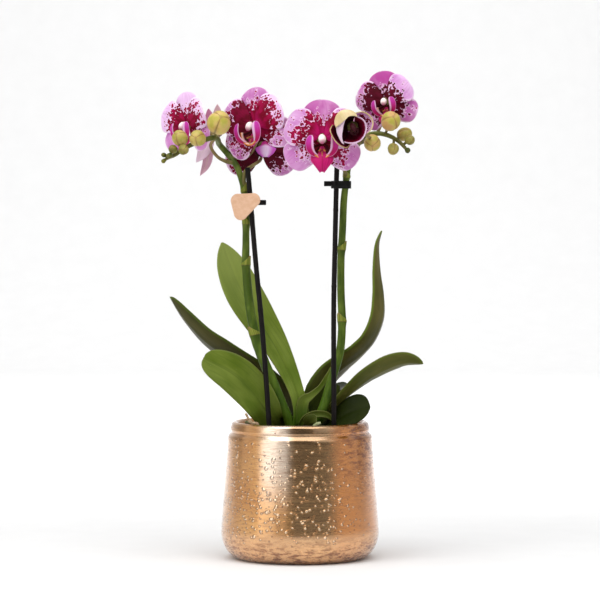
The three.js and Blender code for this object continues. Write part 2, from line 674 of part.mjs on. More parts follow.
function spikeBody(name) {
  const { path, radii, bracts, steps } = SPIKES[name];
  const route = smoothPath(path);
  const bodies = [stem(route, radii, steps, 7)];
  bracts.forEach((height, i) => {
    bodies.push(bractAt(route, radii, shareAtHeight(route, height), i % 2 ? -0.5 : -2.4));
  });
  BUDS[name].forEach((bud) => bodies.push(...budAt(route, bud)));
  BLOOMS.filter((bloom) => bloom.spike === name).forEach((bloom) => bodies.push(pedicel(route, bloom)));
  return joined(bodies);
}

place("pot", turned(potProfile(), 32), 0xa9835a, 0.3, 0.8);
place("nursery_pot", turned(nurseryProfile(), 24), 0x5b5f58, 0.4);

const holes = [
  crownBody(GAP, CROWN.top + 5),
  ...Object.values(STAKES).map((path) => stakeBody(path, GAP)),
  ...Object.values(ROOTS).map((root) => rootBody(root, GAP)),
];
place("potting_bark", cut(barkBody(), holes), 0x4a3524, 0.95);
place("crown", crownBody(0, CROWN.top), 0x8aa046, 0.5);

for (const [name, leaf] of Object.entries(LEAVES)) place(name, leafBlade(leaf), 0x5f7a2f, 0.4);
for (const name of Object.keys(SPIKES)) place(name, spikeBody(name), 0x7d8f3c, 0.5);
for (const [name, path] of Object.entries(STAKES)) place(name, stakeBody(path), 0x191a17, 0.5);
for (const [name, clip] of Object.entries(CLIPS)) place(name, clipBody(clip), 0x151515, 0.5);
place("tag", tagBody(), 0xe9bd98, 0.6);
for (const [name, root] of Object.entries(ROOTS)) {
  place(name, rootBody(root), name === "root_dry" ? 0xb39a78 : 0x8c9a5a, 0.8);
}

const columnRoute = smoothPath(COLUMN.path);
BLOOMS.forEach((bloom, i) => {
  const { matrix } = bloomFrame(bloom);
  const name = `bloom_${i + 1}`;
  place(`${name}_tepals`, tepalBodies(bloom).applyMatrix4(matrix), 0xd08ccb, 0.6);
  place(`${name}_lip`, lipBody(bloom.lip).applyMatrix4(matrix), 0xb02878, 0.5);
  place(`${name}_column`, stem(columnRoute, COLUMN.radii, 4, 7).applyMatrix4(matrix), 0xf0d8e8, 0.5);
});

export default orchid;
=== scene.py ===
# Moth orchid with two flower spikes in a glazed pot: the visible pieces, light and camera
# Tables and shapes are in millimetres, +Z up, seen from -Y. Meshes are made in metres.

import math
import random

import bpy
import numpy as np
from mathutils import Matrix, Quaternion, Vector


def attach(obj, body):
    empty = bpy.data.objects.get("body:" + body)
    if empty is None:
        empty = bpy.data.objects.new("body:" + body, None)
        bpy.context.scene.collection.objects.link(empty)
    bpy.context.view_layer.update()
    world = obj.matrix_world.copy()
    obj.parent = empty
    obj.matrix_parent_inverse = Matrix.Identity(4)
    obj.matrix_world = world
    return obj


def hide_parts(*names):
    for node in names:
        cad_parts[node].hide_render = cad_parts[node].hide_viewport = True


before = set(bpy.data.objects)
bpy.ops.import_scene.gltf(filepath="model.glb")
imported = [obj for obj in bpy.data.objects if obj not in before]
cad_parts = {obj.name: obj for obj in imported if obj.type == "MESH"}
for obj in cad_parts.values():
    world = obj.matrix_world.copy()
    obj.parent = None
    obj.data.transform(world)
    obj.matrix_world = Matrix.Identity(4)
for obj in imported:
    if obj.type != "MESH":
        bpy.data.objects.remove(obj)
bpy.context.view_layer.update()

MM = 0.001
ROOT = "root"
GAP = 0.3
UP = Vector((0, 0, 1))
TOWARDS_VIEWER = Vector((0, -1, 0))

# Camera, in metres: 2.2 m in front of the pot's axis, as high as the lower blooms' stalks
CAMERA_LENS = 164.5
CAMERA_PLACE = Vector((0, -2.2, 0.27))
CAMERA_AIM = Vector((0, 0, 0.2056))

# Outlines of cover pot and inner pot, by radius and height, and the bark: its level and what heaps up on it
FOOT_RADIUS, BELLY_RADIUS, BELLY_HEIGHT, POT_FLOOR = 48, 63.2, 22, 6
COLLAR = [(57.7, 98.2), (54.8, 101), (55.8, 102.6), (54.9, 107.9), (52.5, 109.7), (50.3, 108.5), (49.3, 99),
          (58.7, BELLY_HEIGHT), (FOOT_RADIUS, POT_FLOOR), (0, POT_FLOOR)]
NURSERY = [(0, 6.3), (33, 6.3), (44, 100), (46, 100), (46, 106), (44, 106), (43, 100), (32, 7.3), (0, 7.3)]
BARK_LEVEL, BARK_RADIUS, CHIP_COUNT = 97.5, 42, 190
HEAPS = [(9, -33, 8, 5), (25, -31, 8, 6), (-32, -18, 6, 5)]

# Short stem in the bark that leaves and flower stems grow from
CROWN_X, CROWN_WIDE, CROWN_DEEP, CROWN_BOTTOM, CROWN_TOP = 1, 8.5, 6.8, 82, 118


def crown_seat(angle, height, reach=0.0):
    """Point beside the crown at an angle from the viewer's right, for a piece that reaches out that far."""
    turn = math.radians(angle)
    x = CROWN_X + (CROWN_WIDE + GAP + reach) * math.cos(turn)
    return (x, (CROWN_DEEP + GAP + reach) * math.sin(turn), height)


def seen_at(*stops):
    """Points behind places in the photo, from their pixel column and row and their depth."""
    points = []
    for column, row, y in stops:
        grow = 1 + y / 2200
        points.append(((column - 300) * 0.8 * grow, y, 245 + ((558.4 - row) * 0.8 - 245) * grow))
    return points


# Leaves: spine from crown to tip, then width, rise of the edges, slimness of foot and tip, how olive the leaf
# is, how much painted shade darkens it and how broadly it clasps the crown, then its roll about the spine
LEAVES = {
    "leaf_a": (
        [crown_seat(155, 110, 1.9), (-11.3, 7.2, 118), (-17, 9, 130), (-30, 8, 142), (-48, 4, 153.5),
         (-65, 0, 166), (-79.5, -6, 178), (-93, -12, 194), (-103, -17, 209.5)],
        (29, 4, 0.7, 0.5, 0.9, 0.48, 0.6), [125, 130, 128, 118, 112],
    ),
    "leaf_b": (
        [(1.2, -8.2, 105.5), (0.8, -9, 117), (-2.4, -7, 131), (-9.6, -1, 149), (-20.8, 5, 170.5),
         (-33.7, 9, 190.5), (-45.8, 11, 210.5), (-55.5, 12, 232), (-62.8, 13, 252.5)],
        (31, 3.5, 2.3, 0.8, -0.5, 0.0, 0.46), [0, 20, 25, 22, 20],
    ),
    "leaf_c": (
        [crown_seat(13, 110.8, 1.55), (13.5, 6, 130), (23, 8, 143), (35, 5, 153), (48, 0, 163),
         (58.5, -4, 175), (65, -8, 192), (65.4, -8, 211), (63, -7, 231), (62.2, -6, 250), (65, -6, 262)],
        (29, 4.5, 0.8, 0.7, 0.9, 0.0, 0.7), [-140, -140, -136, -124, -114, -112, -112, -108, -102, -95, -90],
    ),
    "leaf_d": (
        [crown_seat(0, 106.6, 0.4), (20, 1, 114.5), (32, -4, 125.5), (43.7, -11, 136), (55.5, -18, 145.5),
         (69.6, -23, 153.5), (83, -28, 158), (97, -32, 157.5)],
        (25, 3.5, 1.2, 0.5, 0.5, 0.2, 0.42), [-90, -112, -122, -125, -118],
    ),
    "leaf_e": (
        [crown_seat(88, 108, 2.2), (7, 17, 114), (13, 26, 121), (21, 36, 127), (29, 46, 131),
         (35.5, 56, 132.5)],
        (24, 3, 1, 0.5, 0.6, 0.85, 0.42), [-80, -100, -100, -100, -100],
    ),
    "leaf_f": (
        [crown_seat(-4, 103, 0.4), (18, 1.2, 104.6), (27, -4.6, 109.2), (36.5, -10.6, 115.3),
         (46, -15.7, 119.8), (55.5, -20.2, 122)],
        (25, 2.5, 1.6, 0.5, 0.1, 0.92, 0.5), [-90, -75, -50, -34, -30],
    ),
    "leaf_g": (
        [crown_seat(-60, 101.8, 0.6), (6.2, -14, 105), (9, -22, 109.4), (13, -30, 110.4)],
        (14, 2, 1, 0.5, 0.0, 0.5, 0.42), [180, 180],
    ),
    "leaf_h": (
        [crown_seat(183, 105, 0.4), (-16.5, -4.8, 105.5), (-22.5, -15, 109.8), (-29, -21.5, 122),
         (-39.5, -23, 136), (-54.5, -26, 149.5), (-76.5, -28, 161.5)],
        (31, 2.5, 1.2, 0.38, 0.05, 0.2, 0.5), [0, 5, 12, 16, 20],
    ),
}
# Feet of leaves about the crown: line, width, shares of it, how olive they are and how much painted shade
# darkens them
SHEATHS = [
    (seen_at((301, 427, -10), (302, 410, -10.4), (304, 401, -10), (311, 396, -8), (320, 388, -5),
             (327, 377, -2), (331.5, 368, 0)), 9.5, [0.8, 1.0, 0.95, 0.6, 0.42, 0.36, 0.2], 0.0, 0.32),
    (seen_at((303, 428, -4), (311, 418, -3), (321, 407, 0), (329, 396, 2), (334, 384, 4)), 21,
     [0.7, 0.95, 1.0, 0.85, 0.5], 0.2, 0.75),
    (seen_at((322, 428, 2), (331, 414, 6), (340, 400, 8), (350, 388, 10)), 13,
     [0.7, 1.0, 0.9, 0.4], 0.7, 0.6),
    (seen_at((299, 428, -13), (305, 419, -17), (315, 414.5, -19), (326, 415, -19), (333, 420, -18)), 5.5,
     [0.5, 0.9, 1.0, 0.9, 0.4], 0.1, 0.45),
]

# Flower stems: centre line, radii along it, heights of the nodes that carry a bract, share of the length
# where it turns brown, blush of its buds, and the buds by centre, radius and the share of the stem that
# their stalk leaves from
SPIKES = {
    "spike_left": {
        "path": [
            crown_seat(225, 105, 3.2), (-9.6, -8.2, 112), (-13, -9.2, 120), (-17.5, -10, 130.8),
            (-23, -11, 144.3), (-27.8, -12, 155.4), (-31.8, -12, 165.7), (-35.8, -11, 177.6),
            (-40.7, -8, 206.9), (-43.1, -6, 234.7), (-43.1, -6, 254.7), (-43.3, -7.6, 286.6),
            (-48.6, -4, 308.8), (-54, 4.6, 318.3), (-59, 9.6, 324.5), (-64.5, 4, 331),
            (-65.5, -16, 334.5), (-68.5, -34, 335), (-77, -39, 332.5), (-86, -40, 329),
            (-92.7, -41, 325.2), (-98.1, -42, 321.3), (-104.5, -42, 318.6),
        ],
        "radii": [3.5, 3.7, 3.7, 3.1, 2.2, 2.2, 1.9, 1.6, 1.2], "bracts": [179, 235, 268, 293],
        "browns": 0.62, "blush": 0.45,
        "buds": [
            (-63.5, -44, 346.3, 9.4, 0.765), (-79.9, -48.5, 334.1, 6.6, 0.82), (-93.7, -46, 334.2, 6.3, 0.88),
            (-91, -50, 325.3, 4.3, 0.9), (-99.2, -46, 325.6, 3.6, 0.94), (-102, -47, 320.6, 2.4, 0.97),
            (-106.6, -44, 321.2, 1.9, 0.985), (-106.8, -44, 316.6, 1.8, 1),
        ],
    },
    "spike_right": {
        "path": [
            crown_seat(-40, 105, 3.2), (13.4, -9, 109), (17.5, -11, 118.6), (20.7, -11, 128.1),
            (23.9, -12, 139.2), (27.5, -14, 150.3), (31.9, -13.5, 166.2), (33.5, -9, 188.4),
            (32.7, -4, 213.2), (32.7, -4, 237.1), (33.9, -4, 261.9), (34.8, -5, 283.4),
            (35.9, -5, 294.6), (38, -6, 310.5), (40.7, -8, 320),
            (44.6, -10, 328.7), (50.1, -13, 335), (56.4, -16, 338.4), (64.2, -19, 338.7), (72.1, -22, 336.2),
            (78.3, -25, 332.1), (82.9, -28, 327.3),
        ],
        "radii": [3.3, 3.2, 3, 2.7, 2.5, 2.2, 1.9, 1.6, 1.2], "bracts": [189, 247, 305],
        "browns": 0.72, "blush": 0.75,
        "buds": [
            (71.3, -32, 348, 7.8, 0.87), (56.9, -33, 331, 6.8, 0.82), (82.4, -19, 338, 5.5, 0.93),
            (73.4, -31, 326.4, 4.6, 0.92), (86.4, -31, 333.2, 3.9, 0.97), (84.6, -33, 325.2, 2.3, 1),
        ],
    },
}
STEM_SWELL = 1.13
BRACT_LENGTH = 7.5

# Sticks, and the clips by stem, stick, height and the reach of their tail
STAKES = {
    "stake_left": [(-23.5, -28.7, 84), (-24.5, -29.5, 109.5), (-29.3, -25, 177.1), (-35.3, -17, 238.8),
                   (-40.2, -12, 296.1), (-41.8, -10.5, 312)],
    "stake_right": [(26.6, -26.5, 84), (26.8, -29, 117.3), (26.7, -22, 196.8), (27.8, -15, 250.7),
                    (28.9, -9.8, 297), (29.4, -8, 314)],
}
STAKE_RADIUS = 2.02
CLIPS = {
    "clip_left": ("spike_left", "stake_left", 282, (8.8, -1.2, 0)),
    "clip_right": ("spike_right", "stake_right", 297, (-6.4, -1.6, 0)),
}
CLIP_INNER, CLIP_WALL, CLIP_BAND, CLIP_DEEPER = 3.1, 1.3, 4.5, 1.6

# Bare tag: its centre, thickness, and corners by centre and the angles that they round
TAG_X, TAG_Z, TAG_THICK, TAG_ROUND = -43.7, 281, 1, 5.6
TAG_CORNERS = [((6.6, 5.2), -30, 80), ((-5.6, 4.6), 80, 190), ((-3.2, -5.2), 190, 330)]

# Roots that show above the rim, and their radius
ROOTS = {
    "root_dry": ([(-30, -25, 92), (-31.8, -25.6, 103), (-34, -26.6, 108.8), (-38.5, -28.4, 110.2),
                  (-43, -30.5, 117.5)], 1.4),
    "root_green_left": ([(-35, -8, 90), (-37.5, -9, 102), (-40, -10, 108), (-43.4, -11, 109.6)], 1.8),
    "root_green_front": ([(4, -33, 88), (7, -35, 101), (12, -37, 108.5), (16.4, -37, 110.6)], 1.8),
}

# Tepals in the bloom's own place: the angle that they point to, length, width, height, slope, bend, width of
# the claw, slimness of foot and tip, and ruffle. Upper sepal, lower sepals, then the two petals.
TEPALS = [
    (90, 29, 29, -1.7, 6, -22, 4, 0.7, 0.42, 0.8),
    (214, 31.5, 26, -2, 6, -22, 4, 0.7, 0.42, 0.8),
    (326, 31.5, 26, -2, 6, -22, 4, 0.7, 0.42, 0.8),
    (153, 29, 31, 0.1, 16, -30, 3, 0.8, 0.4, 1.5),
    (27, 29, 31, 0.1, 16, -30, 3, 0.8, 0.4, 1.5),
]
TEPAL_CUP = -0.075

# Neck, lip and column in the bloom's own place. The lip is scaled about its foot.
HUB_BACK = -7
LIP_FOOT = Vector((0, -2.7, 1.2))
MIDDLE_LOBE = [(0, -6.5, 2), (0, -10.5, 4.4), (0, -14, 7), (0, -18.5, 8.8), (0, -23, 8.6), (0, -27, 6.8)]
MIDDLE_SHARES = [0.3, 0.45, 0.7, 0.92, 1.0, 1.0, 0.9, 0.72, 0.54, 0.38, 0.2]
MIDDLE_WIDTH, MIDDLE_NOTCH = 18, 1.4
SIDE_LOBE = [(2.4, -13.6, 6), (6.2, -12.4, 7.6), (8.9, -8.4, 9.2), (9.4, -3, 10), (8.4, 2.4, 9.6)]
SIDE_WIDTH = 6.6
COLUMN_LINE = [(0, 2.0, 2.5), (0, 1.0, 5), (0, -1.4, 7.6), (0, -4.4, 10.2)]
COLUMN_RADII = [1.5, 1.7, 2.2, 2.8, 3.1, 3.1, 2.7, 1.7, 0.1]

# The short broad middle lobe of bloom 3: line, shares of its width, width and depth of the notch
FAN_LIPPED = 3
FAN_LINE = [(2.6, 3.4, 9.4), (2.6, -0.6, 12.4), (2.6, -5, 13.2), (2.6, -9.6, 11.6)]
FAN_SHARES = [0.34, 0.36, 0.44, 0.7, 1.0, 0.98, 0.9, 0.84, 0.74, 0.5, 0.3]
FAN_WIDTH, FAN_NOTCH = 17.6, 0.8

# Blooms: stem, centre, turns, size, extra slope of the tepals, size of the lip and of its middle lobe, size
# of the column's cap, and the stalk, by the share of the stem that it leaves from and points on its way.
# For each tepal: how far its maroon heart reaches, how pink the rest is and how dark the heart is, a darkness
# that inside the half-open bloom's cup is painted shade.
# A bloom may have a lip and column painted nearly black as shade (shade) or a paler lip (violet), cream rims,
# and tepals turned aside (aside).
PLAIN = {"turn": 0, "tilt": 0, "roll": 0, "fold": 0, "lip": 1, "violet": 0.0, "shade": 0.0, "cap": 1.0,
         "cream": [0.0] * 5, "aside": [0] * 5}
BLOOMS = [
    {"spike": "spike_left", "centre": (-89.5, -13, 345.5), "turn": -45, "roll": 4, "size": 0.86, "fold": 10,
     "middle": 0.9, "cap": 0.86, "stalk": (0.72, [(-70, -4, 338)]), "reach": [0.5, 0.5, 0.56, 0.74, 0.84],
     "pink": [-0.6, 0.3, 0.5, -0.5, -0.5], "dusk": [0, 0.1, 0.1, 0, 0]},
    {"spike": "spike_left", "centre": (-36.5, -17, 345), "turn": -35, "roll": 6, "size": 1,
     "middle": 0.5, "cap": 0.84, "stalk": (0.6, [(-40, -4, 323)]), "reach": [0.7, 0.84, 0.7, 0.96, 0.92],
     "pink": [0.5, 0.7, 0.5, 0.3, -0.2], "dusk": [0, 0.4, 0.2, 0.45, -0.5], "aside": [0, 0, 16, 0, 0]},
    {"spike": "spike_left", "centre": (-31, 10, 329.5), "turn": 6, "size": 0.95, "lip": 0.5, "middle": 0.6,
     "cap": 0.4, "stalk": (0.515, [(-44, -9, 308), (-38, -8, 313.5), (-32, 2, 318), (-31, 16, 324)]),
     "violet": 1.0, "shade": 1.0, "reach": [0.7, 1.1, 0.8, 1.05, 1.0], "pink": [0.6, 0.6, 0.5, 0.5, 0.5],
     "dusk": [0.8, 0.8, 0.8, 0.8, 0.8]},
    {"spike": "spike_right", "centre": (17.3, -39, 334.2), "size": 1, "middle": 1.0,
     "stalk": (0.6, [(33, -17, 314)]), "reach": [0.56, 0.6, 0.7, 0.72, 0.78],
     "pink": [0.7, 0.35, 0.5, 0.25, 0.3], "dusk": [-1, 0.1, 0.2, -0.8, -0.8]},
    {"spike": "spike_right", "centre": (41, -53, 343), "roll": 20, "size": 1.1, "lip": 0.26, "middle": 0.6,
     "cap": 0.7, "shade": 1.0, "stalk": (0.73, [(54, -28, 334), (54.5, -40, 335), (47, -46, 340)]),
     "reach": [1.5, 1.5, 1.5, 1.5, 0.9], "pink": [0.2, -1, 0.3, 0.7, 0.5], "dusk": [1, 1, 0.9, 0.8, 0.6],
     "cream": [0.8, 0.0, 1.0, 0.0, 1.0]},
    {"spike": "spike_right", "centre": (68, -12, 364.5), "turn": -20, "roll": 12, "size": 0.8, "middle": 1.0,
     "stalk": (0.79, [(60, -6, 337.5), (66, 0, 350)]), "reach": [0.42, 0.6, 0.72, 0.84, 0.62],
     "pink": [0.9, 0.6, 0.6, 0.6, 0.0], "dusk": [0.8, 0.8, 0.8, 0.8, 0.7]},
    {"spike": "spike_left", "centre": (-73, 22, 338), "turn": -112, "tilt": -10, "roll": 50, "size": 0.9,
     "middle": 0.4, "stalk": (0.575, [(-60, 2, 317.5), (-67, 2, 322), (-71.5, 6, 331)]),
     "reach": [-1, -1, -1, -1, -1], "pink": [-0.9, 0.5, 0.4, 1.0, -0.8], "dusk": [0, 0, 0, 0, 0],
     "cream": [0.0, 0.0, 0.1, 0.0, 0.3]},
]
BLOOMS = [PLAIN | bloom for bloom in BLOOMS]

# The half-open bloom 5 as parts of a cup: upper sepal, left petal, lower left sepal, right petal and the
# sepal behind it. Each has its back, edge, mouth if it curls in to one, heights of both, and its flare.
# Edges and mouths run anticlockwise.
HALF_OPEN = 5
CUP_PLACE = {"centre": (40.6, -53, 341.1), "roll": 0, "size": 1.0}
SHELLS = [
    {"back": (-1.5, 0, -8), "rise": 5.5, "brow": 9.6, "flare": 0.0,
     "edge": [(2.9, 12.1), (0.1, 13.9), (-4.4, 14.8), (-7.7, 14.3), (-10.5, 12.6), (-12.7, 9.3), (-13.6, 4.8),
              (-12.7, 1.2)],
     "mouth": [(4.0, 9.3), (1.2, 10.0), (-2.7, 9.5), (-4.9, 7.3), (-6.1, 6.4), (-8.3, 4.5), (-10.5, 2.8),
               (-12.4, 1.3)]},
    {"back": (-2.5, -1, -7), "rise": 4.5, "brow": 8.2, "flare": 0.0,
     "edge": [(-12.4, 3.4), (-11.8, -2.0), (-9.9, -6.9), (-8.0, -10.3), (-6.3, -11.8)],
     "mouth": [(-4.9, 8.0), (-6.6, 3.1), (-7.4, -1.3), (-8.0, -6.4), (-6.5, -11.5)]},
    {"back": (-1.5, 0, -8), "rise": 3.0, "flare": 0.15,
     "edge": [(-15.2, 3.4), (-16.4, 1.6), (-17.2, -0.8), (-16.1, -4.4), (-13.8, -8.6), (-10.5, -12.1),
              (-7.1, -13.9), (-4.4, -14.5), (-1.8, -12.4)]},
    {"back": (-1.5, -0.5, -8), "rise": 7.0, "flare": 0.45,
     "edge": [(-6.5, -10.3), (-3.2, -11.1), (0.7, -11.2), (4.6, -10.3), (7.9, -8.0), (10.2, -4.1),
              (11.2, 0.9), (10.2, 5.4), (7.4, 8.4), (3.5, 9.9)]},
    {"back": (2, 2, -8), "rise": 0.5, "flare": 0.4,
     "edge": [(11.4, -4.0), (14.9, -0.5), (16.4, 3.4), (16.2, 6.8), (14.1, 10.4), (10.7, 12.9), (6.8, 13.8),
              (2.0, 12.6)]},
]

# The bloom 7 that faces away shows the backs of its tepals: line, width, slimness of the foot, width of the
# neck and roll
TURNED_AWAY = 7
BLADES = [
    (seen_at((210, 137, 20), (206.5, 146, 13), (202, 155, 8), (196.3, 163, 4)), 10.4, 0.6, 0.6, 0),
    (seen_at((210, 140, 24), (209, 152, 22), (206.5, 165, 20), (200.2, 176.5, 18)), 7.4, 0.9, 0.5, 0),
    (seen_at((211, 133, 24), (216, 123, 27), (217.6, 114, 28), (217.5, 105.2, 28)), 7.6, 0.9, 0.5, 0),
    (seen_at((208, 135, 24), (209, 125, 27), (209, 117, 28), (208.4, 109.6, 28)), 6.6, 1.4, 0.5, 30),
    (seen_at((206.5, 136, 18), (203.8, 130, 10), (204.2, 123, 7), (205.4, 115.5, 6)), 4.2, 0.9, 0.5, 0),
]


# Curves and plain shapes

def smooth_path(points):
    """Smooth curve through the points, as a function of the share of its spans from 0 to 1."""
    knots = [Vector(point) for point in points]
    knots = [2 * knots[0] - knots[1], *knots, 2 * knots[-1] - knots[-2]]
    spans = len(points) - 1

    def at(share):
        place = min(max(share, 0), 1) * spans
        low = min(int(place), spans - 1)
        t = place - low
        a, b, c, d = knots[low:low + 4]
        start = (c - a) / 2
        end = (d - b) / 2
        return b + start * t + (3 * (c - b) - 2 * start - end) * t**2 + (2 * (b - c) + start + end) * t**3

    return at


def tangent(path, share):
    return (path(min(share + 1e-3, 1)) - path(max(share - 1e-3, 0))).normalized()


def share_at_height(path, height):
    share = 0
    while path(share).z < height:
        share += 0.002
    return share


def between(values, share):
    """Value between evenly spread stations, for a share of the length from 0 to 1."""
    return np.interp(share, np.linspace(0, 1, len(values)), values)


def smoothstep(low, high, value):
    t = min(max((value - low) / (high - low), 0), 1)
    return t * t * (3 - 2 * t)


def bell(value, width):
    return np.exp(-((value / width) ** 2))


def arc(start, corner, end, t):
    """Point of the round bend from start to end that heads for the corner on its way."""
    return start * (1 - t) ** 2 + corner * 2 * t * (1 - t) + end * t**2


def net(rows, columns, end=1.0, eased=True):
    """Shares along (from 0 to the end, closer together there) and across (-1 to 1) a grid of points."""
    along = np.linspace(0, 1, rows)
    if eased:
        along = end * np.sin(along * math.pi / 2)
    return np.meshgrid(along, np.linspace(-1, 1, columns), indexing="ij")


def blade_width(share, root, tip, *least):
    """Width of a blade from base to tip, 1 at its widest and hardly less than the least widths."""
    widest = root / (root + tip)
    width = (share**root * (1 - share) ** tip) / (widest**root * (1 - widest) ** tip)
    return np.sqrt(width**2 + sum(other**2 for other in least))


def offset(start, *moves):
    """Points away from a start: each move is a direction and how far the points lie along it."""
    for direction, reach in moves:
        start = np.asarray(start) + np.asarray(direction) * np.asarray(reach)[..., None]
    return start


def run_along(grid, axis):
    """Distance from the first row or column of a grid to each of its points."""
    steps = np.linalg.norm(np.diff(grid, axis=axis), axis=2)
    return np.insert(np.cumsum(steps, axis=axis), 0, 0, axis=axis)


def strap(u, v, spine, width, outline, cup, facing, roll=(0, 0), notch=0.0, relief=0.0):
    """Grid of points on a strap about a spine: rolled about it, with its edges raised."""
    path = smooth_path(spine)
    frames = []
    for share in u[:, 0]:
        along = tangent(path, share)
        side = along.cross(facing).normalized()
        turn = Quaternion(along, math.radians(between(roll, share))).to_matrix()
        frames.append((path(share), turn @ side, turn @ side.cross(along), along))
    centre, side, normal, along = (np.array(frames)[:, [k]] for k in range(4))
    lift = cup * v * v * outline + relief
    drop = notch * (1 - abs(v)) * u**6
    return offset(centre, (side, v * width * outline / 2), (normal, lift), (-along, drop))


def quads(rows, columns, closed=True, ring=False):
    """Faces between rows of points. Each row may close on itself, and the last row on the first."""
    faces = []
    for i in range(rows if ring else rows - 1):
        for k in range(columns if closed else columns - 1):
            a, b = i * columns + k, i * columns + (k + 1) % columns
            faces.append([a, b, (b + columns) % (rows * columns), (a + columns) % (rows * columns)])
    return faces


def rounded(profile, reach, steps=6):
    """The outline with each corner rounded, no further along its sides than the reach."""
    points = [Vector(point) for point in profile]
    out = [points[0]]
    for before, corner, after in zip(points, points[1:], points[2:]):
        back, ahead = before - corner, after - corner
        cut = min(reach, back.length * 0.45, ahead.length * 0.45)
        start, end = corner + back.normalized() * cut, corner + ahead.normalized() * cut
        out += [arc(start, corner, end, i / steps) for i in range(steps + 1)]
    return [tuple(point) for point in [*out, points[-1]]]


def divided(profile, longest):
    """The outline with long sides split, so that light falls evenly on them."""
    out = [profile[0]]
    for a, b in zip(profile, profile[1:]):
        count = max(1, round(math.dist(a, b) / longest))
        out += [tuple(Vector(a).lerp(Vector(b), k / count)) for k in range(1, count + 1)]
    return out


class Build:
    """Gathers grids and bodies into one mesh, with named values at its points."""

    def __init__(self):
        self.points = []
        self.faces = []
        self.values = {}
        self.count = 0

    def add(self, points, faces, **values):
        points = np.reshape(np.asarray(points, float), (-1, 3))
        self.points.append(points)
        self.faces += [[self.count + int(i) for i in face] for face in faces]
        for label, items in values.items():
            items = np.full(len(points), items) if np.ndim(items) == 0 else np.asarray(items, float)
            self.values.setdefault(label, []).append(items.reshape(len(points), -1))
        self.count += len(points)

    def sheet(self, u, v, grid, thickness, seed=0.0, upper_first=True, **values):
        """Closed thin piece about a grid of points. Its points know their shares along and across it, their
        distance to its rim and their flat place on it, which the seed sets apart from other pieces."""
        normal = np.cross(np.gradient(grid, axis=0), np.gradient(grid, axis=1))
        normal /= np.linalg.norm(normal, axis=2, keepdims=True) + 1e-9
        offset = normal * thickness[..., None] / 2
        rows, columns = u.shape
        total, middle = rows * columns, [columns // 2]
        index = np.arange(total).reshape(rows, columns)
        flat = quads(rows, columns, closed=False)
        faces = [[a, d, c, b] for a, b, c, d in flat] + [[i + total for i in face] for face in flat]
        edge = [*index[:, 0], *index[-1, 1:], *index[-2::-1, -1], *index[0, -2:0:-1]]
        faces += [[b, a, a + total, b + total] for a, b in zip(edge, edge[1:] + edge[:1])]
        run, across = run_along(grid[:, middle], 0), run_along(grid, 1)
        rim = np.minimum(np.minimum(across, across[:, -1:] - across), run[-1] - run)
        place = np.stack(np.broadcast_arrays(run, across - across[:, middle], float(seed)), axis=2)
        values = {"along": u, "across": v, "rim": rim, "petal": place} | values
        both = {}
        for label, items in values.items():
            items = np.full(u.shape, float(items)) if np.ndim(items) == 0 else items
            both[label] = np.concatenate([items.reshape(total, -1)] * 2)
        upper = np.repeat([1.0, 0.0] if upper_first else [0.0, 1.0], total)
        self.add([grid + offset, grid - offset], faces, upper=upper, **both)

    def loft(self, rings, ends=(), **values):
        """Closed body through rings of points. It ends in two points, or else in flat faces."""
        rings = np.asarray(rings, float)
        count, sides = rings.shape[:2]
        total, last = count * sides, (count - 1) * sides
        faces = quads(count, sides)
        if len(ends):
            for a, b in zip(range(sides), [*range(1, sides), 0]):
                faces += [[total, b, a], [total + 1, last + a, last + b]]
        else:
            faces += [list(range(sides - 1, -1, -1)), list(range(last, total))]
        self.add([*rings.reshape(-1, 3), *ends], faces, **values)

    def tube(self, path, radius, rings, sides, lobes=lambda share, angles: 1, **values):
        """Round body along a path. radius, lobes and values may change with the share of the path."""
        shares, angles = np.linspace(0, 1, rings + 1), np.linspace(0, 2 * math.pi, sides, endpoint=False)
        normal = Vector((1, 0.3, 0.1))
        body = []
        for share in shares:
            along = tangent(path, share)
            normal = (normal - along * normal.dot(along)).normalized()
            reach = radius(share) * lobes(share, angles)
            body.append(offset(path(share), (normal, reach * np.cos(angles)),
                               (along.cross(normal), reach * np.sin(angles))))
        values = {label: np.repeat([item(share) for share in shares], sides) if callable(item) else item
                  for label, item in values.items()}
        self.loft(body, **values)

    def moved(self, matrix):
        """Turns and moves all that has been gathered."""
        turn = np.array(matrix)
        self.points = [points @ turn[:3, :3].T + turn[:3, 3] for points in self.points]
        return self

    def piece(self, name, material, nodes, slot):
        """The mesh in metres. It rides on the root and stands for the nodes."""
        mesh = bpy.data.meshes.new(name)
        mesh.from_pydata((np.concatenate(self.points) * MM).tolist(), [], self.faces)
        for label, items in self.values.items():
            items = np.concatenate(items)
            kind, field = ("FLOAT_VECTOR", "vector") if items.shape[1] == 3 else ("FLOAT", "value")
            mesh.attributes.new(label, kind, "POINT").data.foreach_set(field, items.ravel())
        mesh.shade_smooth()
        mesh.materials.append(material)
        piece = bpy.data.objects.new(name, mesh)
        bpy.context.scene.collection.objects.link(piece)
        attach(piece, ROOT)
        if nodes:
            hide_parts(*nodes)
        return piece


def lathe(profile, segments):
    """Body of revolution from an outline that starts and ends on the axis."""
    turns = [2 * math.pi * k / segments for k in range(segments)]
    rings = [[(radius * math.cos(turn), radius * math.sin(turn), height) for turn in turns]
             for radius, height in profile[1:-1]]
    build = Build()
    build.loft(rings, ends=[(0, 0, profile[0][1]), (0, 0, profile[-1][1])])
    return build


# Materials. Colours are the photo's, by their levels from 0 to 255.

def linear(color):
    return tuple(((c / 255 + 0.055) / 1.055) ** 2.4 if c > 10 else c / 3295 for c in color)


